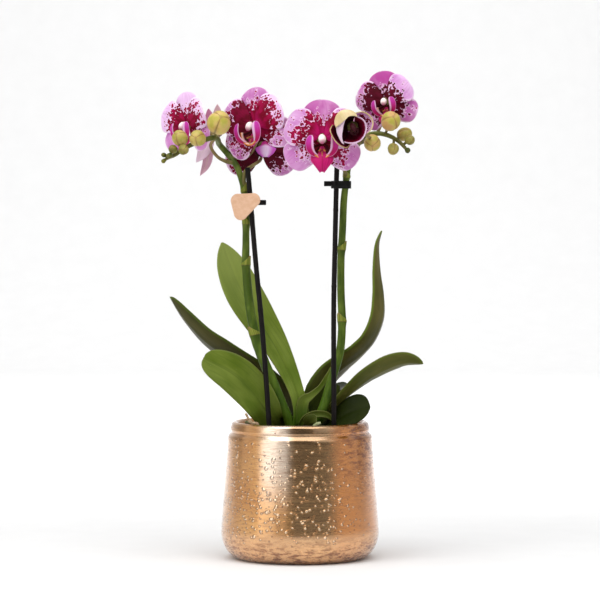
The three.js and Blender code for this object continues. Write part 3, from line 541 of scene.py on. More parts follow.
class Value:
    """What a node gives, with further nodes as its arithmetic and methods."""

    def __init__(self, graph, socket):
        self.graph = graph
        self.socket = socket

    def __add__(self, other):
        return self.graph.math("ADD", self, other)

    def __sub__(self, other):
        return self.graph.math("SUBTRACT", self, other)

    def __rsub__(self, other):
        return self.graph.math("SUBTRACT", other, self)

    def __mul__(self, other):
        return self.graph.math("MULTIPLY", self, other)

    def __abs__(self):
        return self.graph.math("ABSOLUTE", self, 0.0)

    def step(self, low, high, out_low=0.0, out_high=1.0):
        """Smooth step between two limits, low to high or high to low."""
        if low > high:
            low, high, out_low, out_high = high, low, out_high, out_low
        inputs = dict(enumerate((self, low, high, out_low, out_high)))
        return self.graph.node("MapRange", inputs, interpolation_type="SMOOTHSTEP")

    def mix(self, a, b):
        """Colour a where the value is 0, and b where it is 1."""
        return self.graph.node("Mix", {0: self, 6: a, 7: b}, 2, data_type="RGBA")

    def stretch(self, x, y, z=1):
        return self.graph.node("VectorMath", {0: self, 1: (x, y, z)}, operation="MULTIPLY")

    def shifted(self, value):
        return self.graph.node("VectorMath", {0: self, 1: value}, operation="ADD")

    def part(self, number):
        return self.graph.node("SeparateXYZ", {0: self}, number)

    def noise(self, scale, detail=2.0, rough=0.5):
        inputs = {"Vector": self, "Scale": scale, "Detail": detail, "Roughness": rough}
        return self.graph.node("TexNoise", inputs, "Fac")

    def cells(self, scale, jitter=1.0):
        """Distance to the nearest cell centre, a random value of that cell, and its centre."""
        inputs = {"Vector": self, "Scale": scale, "Randomness": jitter}
        distance, color, centre = self.graph.node("TexVoronoi", inputs, "Distance", "Color", "Position")
        return distance, color.part(0), centre


class Graph:
    """A material's nodes, made by short calls."""

    def __init__(self, name, gloss=0.2, **settings):
        self.material = bpy.data.materials.new(name)
        self.material.use_nodes = True
        self.tree = self.material.node_tree
        self.shader = self.tree.nodes["Principled BSDF"]
        self.shader.inputs["Specular IOR Level"].default_value = gloss
        self.set(**settings)

    def put(self, target, value):
        if isinstance(value, Value):
            self.tree.links.new(value.socket, target)
        elif target.type == "RGBA":
            target.default_value = (*linear(value), 1)
        else:
            target.default_value = value

    def set(self, **values):
        for socket, value in values.items():
            self.put(self.shader.inputs[socket.replace("_", " ")], value)

    def node(self, kind, inputs, *outputs, **settings):
        """New node with its settings and inputs. Gives the outputs asked for, or else the first."""
        node = self.tree.nodes.new("ShaderNode" + kind)
        for setting, value in settings.items():
            setattr(node, setting, value)
        for socket, value in inputs.items():
            self.put(node.inputs[socket], value)
        values = [Value(self, node.outputs[output]) for output in outputs or (0,)]
        return values if len(values) > 1 else values[0]

    def math(self, operation, a, b):
        return self.node("Math", {0: a, 1: b}, operation=operation)

    def most(self, first, *others):
        for other in others:
            first = self.math("MAXIMUM", first, other)
        return first

    def attributes(self, names):
        return [self.node("Attribute", {}, "Fac", attribute_name=name) for name in names.split()]

    def flat_place(self):
        """Millimetres along and across a sheet."""
        return self.node("Attribute", {}, "Vector", attribute_name="petal")

    def place(self):
        """Metres in the scene."""
        return self.node("TexCoord", {}, "Object")

    def joined(self, x, y):
        return self.node("CombineXYZ", {0: x, 1: y})

    def coats(self, color, *coats):
        """The color under coats, each given by its strength and color."""
        for strength, coat in coats:
            color = strength.mix(color, coat)
        return color

    def shaded(self, color):
        """The color, or nearly black maroon painted shade where the piece's shade is 1."""
        return self.attributes("shade")[0].mix(color, (52, 10, 18))

    def finish(self, color, height, strength, distance):
        """Sets color and relief, and gives the material."""
        self.set(Base_Color=color)
        self.bump(height, strength, distance)
        return self.material

    def bump(self, height, strength, distance, under=None):
        inputs = {"Strength": strength, "Distance": distance * MM, "Height": height}
        if under:
            inputs["Normal"] = under
        normal = self.node("Bump", inputs)
        self.set(Normal=normal)
        return normal


def tepal_material():
    """Lilac-pink with a crimson heart that frays outwards into spots with pale rings, and a pale margin."""
    g = Graph("tepal", gloss=0.1, Roughness=0.6)
    u, v, rim, upper, reach, pink, cream, dusk = g.attributes("along across rim upper reach pink cream dusk")
    place = g.flat_place()
    ragged = place.stretch(0.13, 0.2).noise(1.0, 1.5)
    field = reach - u + (ragged - 0.5) * 0.7 - v * v * 0.1
    inside = g.most(rim.step(1.0, 2.2), u.step(0.6, 0.4))
    bent = place.shifted(place.noise(0.5, 1.0) * 1.2)
    spots = []
    for scale in (0.3, 0.52):
        flat = bent.stretch(0.85 * scale, 1.1 * scale)
        distance, chance, centre = flat.cells(1.0, jitter=0.85)
        full = (field + (flat.part(0) - centre.part(0)) * (0.042 / scale)).step(-0.3, 0.34)
        there = (full * 1.15 - chance).step(0.0, 0.04)
        spots.append((full * 0.34 + 1.27) * there - (distance + 1.0))
    spot_field = g.most(*spots) * inside
    maroon = g.most(spot_field.step(0.0, 0.05), field.step(0.33, 0.38) * inside)
    ring = spot_field.step(-0.34, 0.0) * field.step(-0.3, -0.1)
    fan = g.joined(u, v).stretch(1.5, 11).noise(1.0)
    patch = place.stretch(0.08, 0.08).noise(1.0)
    tone = patch.step(0.35, 0.65)
    margin = rim.step(0.9, 0.2, 0.0, 0.6) * u.step(0.45, 0.7) * dusk.step(1.0, 0.5, 0.3, 1.0)
    blush = g.coats(
        tone.mix((222, 174, 222), (202, 134, 200)),
        (pink.step(0.0, -1.0), (238, 208, 240)),
        (u.step(0.7, 1.0, 0.0, 0.4), (232, 200, 234)),
        (pink * patch.step(0.25, 0.6, 0.7, 1.0), (168, 52, 136)),
        (fan.step(0.5, 0.72, 0.0, 0.3), (170, 64, 150)),
        (ring * 0.65, (240, 212, 238)),
        (margin, (240, 222, 238)),
    )
    dark = g.coats(
        ragged.step(0.4, 0.62).mix((118, 0, 34), (156, 6, 64)),
        (dusk.step(0.0, -1.0) * u.step(0.34, 0.1), (190, 18, 104)),
        (fan.step(0.45, 0.7, 0.0, 0.3), (84, 0, 24)),
        # near-black maroon heart: partly the heart's own colour, and painted shade inside the half-open
        # bloom's cup
        (dusk * u.step(1.05, 0.6), (52, 2, 14)),
    )
    back = g.coats(
        fan.step(0.4, 0.75, 0.0, 0.75).mix((214, 178, 190), (178, 108, 142)),
        (abs(v).step(0.16, 0.0, 0.0, 0.6), (200, 192, 150)),
        (pink.step(0.0, -1.0, 0.0, 0.8), (222, 198, 216)),
        (pink.step(0.4, 0.9, 0.0, 0.6), (176, 72, 132)),
    )
    color = upper.step(0.0, 0.4).mix(back, maroon.mix(blush, dark))
    creamy = g.most(rim.step(1.4, 0.6), 1.0 - upper) * cream
    color = creamy.mix(color, tone.mix((226, 208, 150), (196, 178, 108)))
    return g.finish(color, place.noise(2.4, 3.0) * 0.5 + fan, 0.45, 0.3)


def lip_material():
    """Magenta lobe with darker veins and a pale edge, or lilac with a magenta foot where it is violet."""
    g = Graph("lip", gloss=0.12, Roughness=0.45)
    u, v, rim, violet = g.attributes("along across rim violet")
    veins = g.joined(u, v).stretch(1.2, 7).noise(1.0)
    body = g.coats(
        veins.step(0.4, 0.75).mix((186, 24, 102), (156, 12, 82)),
        (abs(v).step(0.1, 0.0, 0.0, 0.6), (142, 10, 66)),
        (rim.step(0.8, 0.2, 0.0, 0.5), (216, 110, 172)),
    )
    glow = g.coats(
        abs(v).step(0.1, 0.8).mix((232, 204, 236), (196, 84, 190)),
        (veins.step(0.5, 0.7, 0.0, 0.5), (206, 130, 206)),
        (u.step(0.35, 0.15), (176, 30, 120)),
    )
    return g.finish(g.shaded(violet.mix(body, glow)), veins, 0.4, 0.3)


def side_lobe_material():
    """Violet-magenta ears with a thin pale edge, orange where they meet below."""
    g = Graph("lip_side_lobe", gloss=0.12, Roughness=0.45)
    u, v, rim = g.attributes("along across rim")
    veins = g.joined(u, v).stretch(1.2, 5).noise(1.0)
    body = g.coats(
        u.step(0.35, 0.95).mix((170, 16, 84), (190, 58, 164)),
        (veins.step(0.45, 0.7, 0.0, 0.5), (140, 12, 86)),
        (v.step(0.3, 0.75, 0.0, 0.85), (226, 192, 222)),
        (rim.step(0.5, 0.1, 0.0, 0.5), (226, 160, 206)),
    )
    foot = veins.step(0.45, 0.6).mix((222, 142, 54), (176, 60, 40))
    return g.finish(g.shaded(u.step(0.04, 0.15).mix(foot, body)), veins, 0.4, 0.25)


def throat_material():
    """Maroon, darkened nearly to black by painted shade in the hollow, with yellow stripes and a
    yellow-orange rim.
    """
    g = Graph("lip_throat", gloss=0.08, Roughness=0.5)
    u, v = g.attributes("along across")
    stripes = g.joined(u, v).stretch(0.8, 6).noise(1.0)
    ground = g.coats(
        # nearly black maroon ground: the throat's own maroon, darkened further as painted shade in the hollow
        stripes.step(0.4, 0.6).mix((44, 2, 10), (88, 8, 24)),
        (stripes.step(0.66, 0.74, 0.0, 0.5), (140, 60, 34)),
        (u.step(0.8, 0.9), (226, 188, 176)),
        (u.step(0.93, 0.98), (214, 132, 50)),
    )
    return g.finish(g.shaded(ground), stripes, 0.4, 0.2)


def callus_material():
    """Orange-brown, speckled with dark red."""
    g = Graph("lip_callus", Roughness=0.35, Coat_Weight=0.2)
    place = g.place()
    distance, _, _ = place.cells(1300.0)
    color = distance.step(0.42, 0.25).mix((176, 110, 56), (112, 26, 22))
    return g.finish(g.shaded(color), place.noise(700.0), 0.3, 0.1)


def column_material():
    """White cap on a column that is pink to magenta at its foot."""
    g = Graph("column", gloss=0.1, Roughness=0.5)
    u, = g.attributes("along")
    wash = g.place().noise(320.0, 3.0)
    white = wash.step(0.4, 0.7).mix((252, 240, 236), (240, 214, 218))
    cap = u.step(0.68, 0.98).mix(white, (168, 84, 118))
    return g.finish(g.shaded(u.step(0.0, 0.3).mix((176, 50, 110), cap)), wash, 0.25, 0.15)


def leaf_material():
    """Waxy green with a sunk midrib, faint long veins and dust; olive and duller below.
    Leaves that lie in shade are darkened by painted shade.
    """
    g = Graph("leaf", gloss=0.1, Roughness=0.42)
    u, v, rim, upper, tint, dark = g.attributes("along across rim upper tint tone")
    place = g.flat_place()
    broad = place.stretch(0.03, 0.07).noise(1.0, 3.0)
    veins = place.stretch(0.02, 1.1).noise(1.0, 3.0)
    tone = broad.step(0.3, 0.7)
    olive = g.most(tint, 0.0)
    dust, chance, _ = place.cells(0.42)
    color = g.coats(
        tone.mix((88, 108, 26), (118, 134, 52)),
        (olive * u.step(0.06, 0.24), tone.mix((58, 52, 16), (92, 82, 30))),
        (veins.step(0.45, 0.75, 0.0, 0.35), (60, 82, 28)),
        ((1.0 - upper) * 0.6, tone.mix((72, 72, 30), (94, 86, 42))),
        (abs(v).step(0.05, 0.0, 0.0, 0.45), (58, 76, 26)),
        (olive * rim.step(2.6, 1.2), (92, 112, 36)),
        (rim.step(0.7, 0.1, 0.0, 0.4), (140, 138, 80)),
        (tint.step(0.0, -0.5) * u.step(0.55, 1.0, 0.0, 0.6), (156, 168, 92)),
        (dust.step(0.09, 0.03) * chance.step(0.8, 0.9, 0.0, 0.6), (200, 206, 180)),
        (u.step(0.28, 0.04, 0.0, 0.75), olive.mix((62, 98, 16), (40, 38, 12))),
        # painted shade: the leaf's tone value darkens it by how much shade it lies in
        (dark, (24, 32, 6)),
    )
    g.set(Roughness=broad.step(0.2, 0.8, 0.3, 0.46))
    return g.finish(color, place.noise(1.6, 3.0) * 0.3 + veins, 0.35, 0.3)


def stem_material():
    """Green low down, olive to brown towards the flowers, with a fine dotted skin."""
    g = Graph("stem", gloss=0.15, Roughness=0.45)
    brown, = g.attributes("brown")
    place = g.place()
    mottle = place.stretch(1, 1, 0.4).noise(130.0, 4.0)
    tone = mottle.step(0.35, 0.7)
    dots, chance, _ = place.cells(900.0)
    color = g.coats(
        tone.mix((50, 80, 8), (84, 112, 24)),
        (brown, tone.mix((112, 88, 58), (156, 132, 94))),
        (dots.step(0.3, 0.12) * chance.step(0.6, 0.8, 0.0, 0.5), (88, 44, 42)),
    )
    return g.finish(color, mottle, 0.3, 0.3)


def bract_material():
    """Yellow-green fibres, browner at foot and tip."""
    g = Graph("bract", Roughness=0.55)
    u, = g.attributes("along")
    fibres = g.flat_place().stretch(0.1, 1.6).noise(1.0, 3.0)
    color = g.coats(
        fibres.step(0.35, 0.7).mix((104, 118, 34), (148, 148, 62)),
        (u.step(0.6, 1.0, 0.0, 0.7), (142, 110, 76)),
        (u.step(0.12, 0.0, 0.0, 0.7), (92, 74, 50)),
    )
    return g.finish(color, fibres, 0.5, 0.3)


def bud_material():
    """Yellow-green egg with a brown-pink blush beside the seams. It is paler on its crown and darker green
    towards its stalk, partly its own colour and partly painted shade.
    """
    g = Graph("bud", Roughness=0.42, Subsurface_Weight=0.12, Subsurface_Scale=0.003, Coat_Weight=0.1)
    u, seam, blushed, young = g.attributes("along seam blush young")
    place = g.place()
    wash = place.noise(110.0, 3.0)
    color = g.coats(
        wash.step(0.35, 0.65).mix((176, 166, 70), (220, 204, 120)),
        # darker green towards the stalk: partly the bud's own colour, partly painted shade
        (u.step(0.5, 0.0, 0.0, 0.85), (112, 112, 34)),
        (g.most(blushed * wash.step(0.4, 0.58), seam.step(0.5, 0.1, 0.0, 0.5)), (186, 132, 88)),
        (young, wash.step(0.4, 0.6).mix((58, 68, 18), (112, 112, 42))),
        (seam.step(0.16, 0.02, 0.0, 0.75), (112, 92, 40)),
        (u.step(0.93, 1.0, 0.0, 0.6), (140, 96, 70)),
    )
    return g.finish(color, wash + place.noise(900.0) * 0.2, 0.3, 0.3)


def pot_material():
    """Gold lustre glaze, finely streaked round the pot, pitted with bubbles, browned at foot and shoulder. It
    carries a painted highlight band, a painted dark reflection band, and painted glints and shade rings on
    the bubbles.
    """
    g = Graph("pot", gloss=0.5, Metallic=0.95, Coat_Weight=1.0, Coat_Roughness=0.12, Coat_IOR=1.6)
    place = g.place()
    x, height = place.part(0), place.part(2)
    around = place.stretch(1, 1, 14)
    streaks = around.noise(30.0, 5.0, 0.6)
    fine = around.noise(130.0, 4.0, 0.65)
    painted_highlight_band = x.step(-0.036, -0.024) * x.step(0.004, -0.01)
    stained = g.most(height.step(0.03, 0.005), height.step(0.03, 0.095) * x.step(0.014, 0.045))
    stain = stained * place.stretch(1, 1, 3.2).noise(120.0, 6.0, 0.75).step(0.44, 0.6)
    dots, chance, _ = place.cells(210.0)
    many = height.step(0.1, 0.04, 0.26, 1.0) * height.step(0.014, 0.024)
    many = many * (x.step(0.058, 0.022) * height.step(0.101, 0.096))
    warp = place.shifted(place.noise(150.0) * 0.004).stretch(1, 1, 1.25)
    bubbles = []
    for scale, size in ((125.0, 0.26), (170.0, 0.31), (240.0, 0.38)):
        pits, pick, _ = warp.cells(scale)
        bubbles.append(pits.step(size, 0.06) * (pick + many).step(0.98, 1.02))
    bubble = g.most(*bubbles)
    g.set(Base_Color=g.coats(
        place.noise(24.0, 3.0).step(0.35, 0.65).mix((206, 144, 78), (220, 164, 98)),
        # painted shade on the lower part of the highlight band, then a painted champagne highlight on its
        # upper part
        (painted_highlight_band * height.step(0.07, 0.02, 0.0, 0.5), (164, 122, 74)),
        (painted_highlight_band * height.step(0.035, 0.08), (228, 206, 184)),
        # painted dark reflection: darker olive where the dim surroundings behind the viewer reflect in the
        # glaze
        (x.step(-0.014, -0.002) * height.step(0.012, 0.03), (156, 122, 82)),
        (x.step(0.02, 0.034), (204, 132, 64)),
        (fine.step(0.46, 0.68, 0.0, 0.55), (150, 98, 58)),
        (height.step(0.028, 0.018) * 0.6, (236, 188, 140)),
        (stain * 0.85, (112, 54, 24)),
        (dots.step(0.2, 0.1) * chance.step(0.86, 0.92) * 0.7, (106, 54, 28)),
        # painted shade ring and painted glint on each bubble
        (bubble.step(0.02, 0.16) * bubble.step(0.6, 0.35) * 0.5, (112, 66, 34)),
        (bubble.step(0.5, 0.85, 0.0, 0.62), (250, 226, 194)),
    ))
    g.set(Roughness=streaks.step(0.3, 0.75, 0.2, 0.31) + stain * 0.25)
    g.bump(bubble, 1.0, 0.8, g.bump(streaks + fine * 0.4, 0.2, 0.22))
    return g.material


def tag_material():
    """Bare matt card with a fine mottle."""
    g = Graph("tag", Roughness=0.6)
    place = g.place()
    mottle, fine = place.noise(260.0, 5.0, 0.65), place.noise(1500.0)
    color = g.coats(
        mottle.step(0.35, 0.65).mix((222, 182, 152), (214, 170, 138)),
        (fine.step(0.62, 0.75, 0.0, 0.3), (206, 158, 124)),
    )
    return g.finish(color, mottle + fine, 0.15, 0.1)


def bark_material():
    """Brown chips with dark grain."""
    g = Graph("bark", gloss=0.1, Roughness=0.9)
    place = g.place()
    grain = place.stretch(1, 3, 2).noise(260.0, 6.0, 0.65)
    color = place.noise(60.0).step(0.35, 0.65).mix((74, 50, 32), (126, 88, 56))
    return g.finish(grain.step(0.4, 0.7).mix(color, (42, 28, 20)), grain, 0.9, 1.2)


def plain_material(name, colors, noise, limits, bump, roughness=None, squeeze=1, **settings):
    """Two colors mottled by one noise, which may also set the roughness between two values."""
    g = Graph(name, **settings)
    grain = g.place().stretch(1, 1, squeeze).noise(*noise)
    g.set(Base_Color=(grain.step(*limits) if limits else grain).mix(*colors))
    if roughness:
        g.set(Roughness=grain.step(0.3, 0.7, *roughness))
    if bump:
        g.bump(grain, *bump)
    return g.material


# Pot, inner pot, bark and crown

def pot_profile():
    """Outline of the pot: foot, round belly, straight wall, rolled rim and inside."""
    steps = 18
    belly = [(0, 0), (FOOT_RADIUS, 0)]
    for turn in np.linspace(0, math.pi / 2, steps + 1)[1:]:
        radius = FOOT_RADIUS + (BELLY_RADIUS - FOOT_RADIUS) * math.sin(turn)
        belly.append((radius, BELLY_HEIGHT * (1 - math.cos(turn))))
    return divided(belly[:-1] + rounded([belly[-1], *COLLAR], 2.6), 2.4)


def bark_level(x, y):
    heaps = [rise / (1 + ((x - cx) ** 2 + (y - cy) ** 2) / half**2) for cx, cy, rise, half in HEAPS]
    return BARK_LEVEL + max(heaps)


def add_chip(build, draw, centre, size, tilt):
    """One flat irregular chunk of bark, its two faces broken differently."""
    corners = draw.randint(5, 7)
    axis = Vector((draw.uniform(-1, 1), draw.uniform(-1, 1), 0.1)).normalized()
    turn = Matrix.Rotation(tilt, 4, axis) @ Matrix.Rotation(draw.uniform(0, 6.3), 4, "Z")
    rings = []
    for height, shrink in ((-0.5, 0.75), (-0.32, 1), (0.3, 0.97), (0.5, 0.72)):
        ring = []
        for k in range(corners * 2):
            angle = math.pi * k / corners
            reach = size * shrink * (1 if k % 2 == 0 else 0.86) * draw.uniform(0.86, 1.1)
            rise = size * (0.62 * height + draw.uniform(-0.08, 0.08))
            corner = Vector((reach * math.cos(angle), 0.66 * reach * math.sin(angle), rise))
            ring.append(centre + turn @ corner)
        rings.append(ring)
    build.loft(rings)


def make_bark(material):
    """Chips laid in a spiral round the crown on top of the filling."""
    draw = random.Random(7)
    golden_angle = 2.39996
    build = Build()
    for i in range(CHIP_COUNT):
        radius = 9 + 30.5 * math.sqrt((i + 0.5) / CHIP_COUNT)
        x, y = radius * math.cos(i * golden_angle), radius * math.sin(i * golden_angle)
        size = min(draw.uniform(2.6, 5.2), BARK_RADIUS - radius)
        centre = Vector((x, y, bark_level(x, y) + draw.uniform(-0.5, 2.2)))
        add_chip(build, draw, centre, size, draw.uniform(0, 0.9))
    piece = build.piece("bark_chips", material, [], "bark")
    piece.data.shade_flat()
    bevel = piece.modifiers.new("worn_edges", "BEVEL")
    bevel.width = 0.35 * MM
    bevel.segments = 2


def make_crown(material):
    """Short stem wrapped in the scarred feet of old leaves."""
    def radius(share):
        scars = 1 + 0.03 * math.sin(46 * share)
        return CROWN_DEEP * (1 - 0.9 * smoothstep(0.7, 1, share) ** 3) * scars

    build = Build()
    path = smooth_path([(CROWN_X, 0, height) for height in (CROWN_BOTTOM, 100, CROWN_TOP)])
    build.tube(path, radius, 60, 40, lobes=lambda s, a: np.hypot(1.22 * np.cos(a), np.sin(a)), brown=0.25)
    build.piece("crown_stem", material, ["crown"], "crown_green")


def make_root(name, material):
    line, size = ROOTS[name]
    kind = "root_dry" if "dry" in name else "root_green"
    build = Build()
    build.tube(
        smooth_path(line), lambda s: size * between([1, 1, 1, 0.9, 0.62], s) * (1 + 0.06 * math.sin(40 * s)),
        70, 18, lobes=lambda s, a: 1 + 0.07 * np.sin(3 * a + 14 * s),
    )
    build.piece(name.replace("root", "aerial_root"), material, [name], kind)


# Leaves

def make_leaf(name, material, seed):
    spine, (width, cup, foot, tip, tint, tone, clasp), roll = LEAVES[name]
    u, v = net(56, 17, 0.9985)
    outline = blade_width(u, foot, tip, clasp * (1 - u) ** 0.9, 0.03)
    crease = -0.9 * bell(v, 0.09) * (1 - u) ** 0.3
    wave = 0.5 * v * v * np.sin(9 * u + 2 * seed) * u
    grid = strap(u, v, spine, width, outline, cup, TOWARDS_VIEWER, roll, relief=crease + wave)
    thickness = (0.7 + 1.1 * (1 - abs(v) ** 3)) * (1 - 0.4 * u)
    build = Build()
    build.sheet(u, v, grid, thickness, seed, upper_first=False, tint=tint, tone=tone)
    build.piece(name.replace("leaf_", "leaf_blade_"), material, [name], "leaf_green")


def make_sheaths(material):
    """Folded feet of the leaves about the crown, the keel of the tall right leaf foremost."""
    build = Build()
    u, v = net(40, 13)
    for k, (line, width, shares, tint, tone) in enumerate(SHEATHS):
        grid = strap(u, v, line, width, between(shares, u), 1.4, TOWARDS_VIEWER)
        build.sheet(u, v, grid, 0.8 + 0.5 * (1 - v**2), 30 + k, upper_first=False, tint=tint, tone=tone)
    build.piece("crown_sheaths", material, [], "crown_green")


# Flower stems, bracts and buds

def add_bract(build, path, radii, share, turn):
    """Pointed scale that wraps the stem above a node."""
    along = tangent(path, share)
    out = Vector((math.cos(turn), math.sin(turn), 0))
    out = (out - along * out.dot(along)).normalized()
    u, v = net(14, 13, eased=False)
    wrap = v * (2.9 * (1 - u) ** 3 + 1.1 * (1 - u * u * 0.85))
    reach = between(radii, share) + 0.3 + 0.7 * u**1.5
    grid = offset(path(share), (along, u * BRACT_LENGTH - 1), (out, reach * np.cos(wrap)),
                  (along.cross(out), reach * np.sin(wrap)))
    build.sheet(u, v, grid, 0.9 - 0.55 * u, share * 50)


def add_bud(eggs, stems, path, bud, blush):
    """Egg with three seams, on a bowed stalk from the stem."""
    *centre, radius, leaves_at = bud
    centre, start = Vector(centre), path(leaves_at)
    out = centre - start
    lean = (out.normalized() + Vector((0, -0.6, -0.1))).normalized()
    rows, columns, third = 28, 42, 2 * math.pi / 3
    t, angle = np.meshgrid(math.pi * np.arange(1, rows) / rows, 2 * math.pi * np.arange(columns) / columns,
                           indexing="ij")
    from_seam = (angle - math.radians(40 * radius) + third / 2) % third - third / 2
    groove = 1 - 0.055 * bell(from_seam, 0.1) - 0.02 * np.cos(3 * from_seam)
    reach = np.sin(t) ** 0.92 * radius * 0.98 * groove
    height = -np.cos(t) * np.where(np.arange(1, rows)[:, None] < rows / 2, 1.05, 1.2) * radius
    rings = np.stack([reach * np.cos(angle), reach * np.sin(angle), height], axis=2)
    young = min(max((7.5 - radius) / 5, 0), 1)
    egg = Build()
    egg.loft(rings, ends=[(0, 0, -1.05 * radius), (0, 0, 1.2 * radius)])
    egg.moved(Matrix.Translation(centre) @ UP.rotation_difference(lean).to_matrix().to_4x4())
    along, seam = [*(t / math.pi).ravel(), 0, 1], [*abs(from_seam).ravel(), 1, 1]
    eggs.add(egg.points[0], egg.faces, along=along, seam=seam, blush=blush * (1 - young), young=young)
    foot = centre - lean * 0.8 * radius
    bow = start.lerp(foot, 0.5) + Vector((0, 0.5, -0.12 * out.length))
    stalk = smooth_path([start, bow, foot])
    stems.tube(stalk, lambda s: between([1.25, 1.0, 1.15, 1.5], s), 16, 14, brown=0.55)


def make_spike(name, materials):
    spike = SPIKES[name]
    path, radii = smooth_path(spike["path"]), [STEM_SWELL * radius for radius in spike["radii"]]
    nodes = [share_at_height(path, height) for height in spike["bracts"]]
    stems, bracts, eggs = Build(), Build(), Build()
    stems.tube(
        path, lambda s: between(radii, s) + sum(0.5 * bell(s - node, 0.006) for node in nodes), 420, 22,
        brown=lambda s: 0.15 * smoothstep(0, 0.5, s) + 0.35 * smoothstep(spike["browns"], 1, s),
    )
    for i, share in enumerate(nodes):
        add_bract(bracts, path, radii, share, -0.5 if i % 2 else -2.4)
    for bud in spike["buds"]:
        add_bud(eggs, stems, path, bud, spike["blush"])
    for bloom in BLOOMS:
        if bloom["spike"] == name:
            thick = [1.8, 1.35, 1.3, 1.4, 1.7 * bloom["size"]]
            stems.tube(stalk_path(path, bloom), lambda s, radii=thick: between(radii, s), 60, 14,
                       brown=lambda s: between([0.5, 0.8, 0.9, 0.9], s))
    for part, build, kind in (("stem", stems, "stem"), ("bracts", bracts, "bract"), ("buds", eggs, "bud")):
        build.piece(f"{name}_{part}", materials[kind], [name], "stem_green")


# Blooms

def bloom_matrix(bloom):
    """Place of a bloom: it faces local +Z with its upper sepal along local +Y."""
    facing = Vector(TOWARDS_VIEWER)
    facing.rotate(Quaternion((1, 0, 0), math.radians(-bloom["tilt"])))
    facing.rotate(Quaternion(UP, math.radians(bloom["turn"])))
    upper = (UP - facing * facing.z).normalized()
    upper.rotate(Quaternion(facing, math.radians(bloom["roll"])))
    turn = Matrix((upper.cross(facing), upper, facing)).transposed().to_4x4()
    return Matrix.Translation(bloom["centre"]) @ turn @ Matrix.Scale(bloom["size"], 4)


def stalk_path(path, bloom):
    """From the stem to the back of the bloom's neck, which it meets head on."""
    matrix = bloom_matrix(bloom)
    facing = (matrix.to_3x3() @ UP).normalized()
    seat = matrix @ Vector((0, 0, HUB_BACK - GAP / bloom["size"]))
    share, via = bloom["stalk"]
    return smooth_path([path(share), *via, seat - facing * 4 * bloom["size"], seat - facing, seat])


def tepal_grid(u, v, tepal, more_angle, more_slope, seed):
    """Tepal that arches out from the bloom's middle, with ruffled edges and a crease."""
    angle, length, full, height, slope, bend, claw, root, tip, ruffle = tepal
    turn, start, change = (math.radians(a) for a in (angle + more_angle, slope + more_slope, bend))
    tilt = start + change * u
    reach = 2.2 + length / change * (np.sin(tilt) - math.sin(start))
    lift = height + length / change * (math.cos(start) - np.cos(tilt))
    share = blade_width(u, root, tip, claw / full * (1 - u), 0.03)
    share = share * (1 + 0.04 * u * np.sin(11 * u + 3 * seed))
    wave = ruffle * abs(v) ** 1.5 * u * np.sin(7.5 * u + 2.2 * v + seed)
    crease = -0.45 * bell(v, 0.07) * (1 - 0.6 * u)
    edge = full * TEPAL_CUP * v * v * share + wave + crease
    out = reach - edge * np.sin(tilt)
    side = v * full * share / 2
    x, y = out * math.cos(turn) - side * math.sin(turn), out * math.sin(turn) + side * math.cos(turn)
    return np.stack([x, y, lift + edge * np.cos(tilt)], axis=2)


def shell_grid(u, v, shell):
    """Part of a cup: each column leaves its back, rounds its outer edge and may curl in to a mouth."""
    back = Vector(shell["back"])
    edge = smooth_path([(x, y, shell["rise"]) for x, y in shell["edge"]])
    mouth = smooth_path([(x, y, shell["brow"]) for x, y in shell["mouth"]]) if "mouth" in shell else None
    turn = 0.5 if mouth else 1.0
    grid = []
    for share, across in zip(u.ravel(), (v.ravel() + 1) / 2):
        side = edge(across)
        low = side.lerp(back, shell["flare"])
        low.z = back.z
        point = arc(back, low, side, min(0.08 + 0.92 * share / turn, 1))
        if share > turn:
            inner = mouth(across)
            point = arc(side, Vector((side.x, side.y, inner.z)), inner, (share - turn) / (1 - turn))
        grid.append(point)
    return np.array(grid).reshape(*u.shape, 3)


def bloom_grids(number, bloom, u, v):
    """A grid of points for each tepal of a bloom, in the plant's place."""
    if number == TURNED_AWAY:
        crease = -0.5 * bell(v, 0.12) * (1 - u)
        return [strap(u, v, line, width, blade_width(u, root, 0.9, neck * (1 - u), 0.03), 1.2, TOWARDS_VIEWER,
                      [0, roll], relief=crease) for line, width, root, neck, roll in BLADES]
    if number == HALF_OPEN:
        grids = [shell_grid(u, v, shell) for shell in SHELLS]
        bloom = bloom | CUP_PLACE
    else:
        grids = [tepal_grid(u, v, tepal, bloom["aside"][k], bloom["fold"], 1.7 * k + number)
                 for k, tepal in enumerate(TEPALS)]
    matrix = np.array(bloom_matrix(bloom))
    return [grid @ matrix[:3, :3].T + matrix[:3, 3] for grid in grids]


def make_tepals(number, bloom, material):
    u, v = net(34, 25, 0.9985)
    thickness = (0.35 + 0.55 * (1 - abs(v) ** 3)) * (1 - 0.45 * u**3)
    build = Build()
    for k, grid in enumerate(bloom_grids(number, bloom, u, v)):
        values = {label: bloom[label][k] for label in ("reach", "pink", "cream", "dusk")}
        if number == HALF_OPEN:
            values["rim"] = 18 * (1 - u)
        build.sheet(u, v, grid, thickness, 10 * number + 1.3 * k, **values)
    build.piece(f"bloom_{number}_petals", material, [f"bloom_{number}_tepals"], "tepals")


def make_neck(number, bloom, material):
    """Swollen neck behind the tepals, where the stalk ends."""
    build = Build()
    path = smooth_path([(0, 0, HUB_BACK), (0, 0, HUB_BACK / 2), (0, 0, 0.8)])
    build.tube(path, lambda s: between([1.9, 2.6, 3.6, 4.2, 4.1, 3.2], s), 24, 24,
               lobes=lambda s, a: 1 + 0.06 * np.cos(6 * a), brown=lambda s: 0.8 - 0.3 * s)
    build.moved(bloom_matrix(bloom)).piece(
        f"bloom_{number}_neck", material, [f"bloom_{number}_tepals"], "tepals")


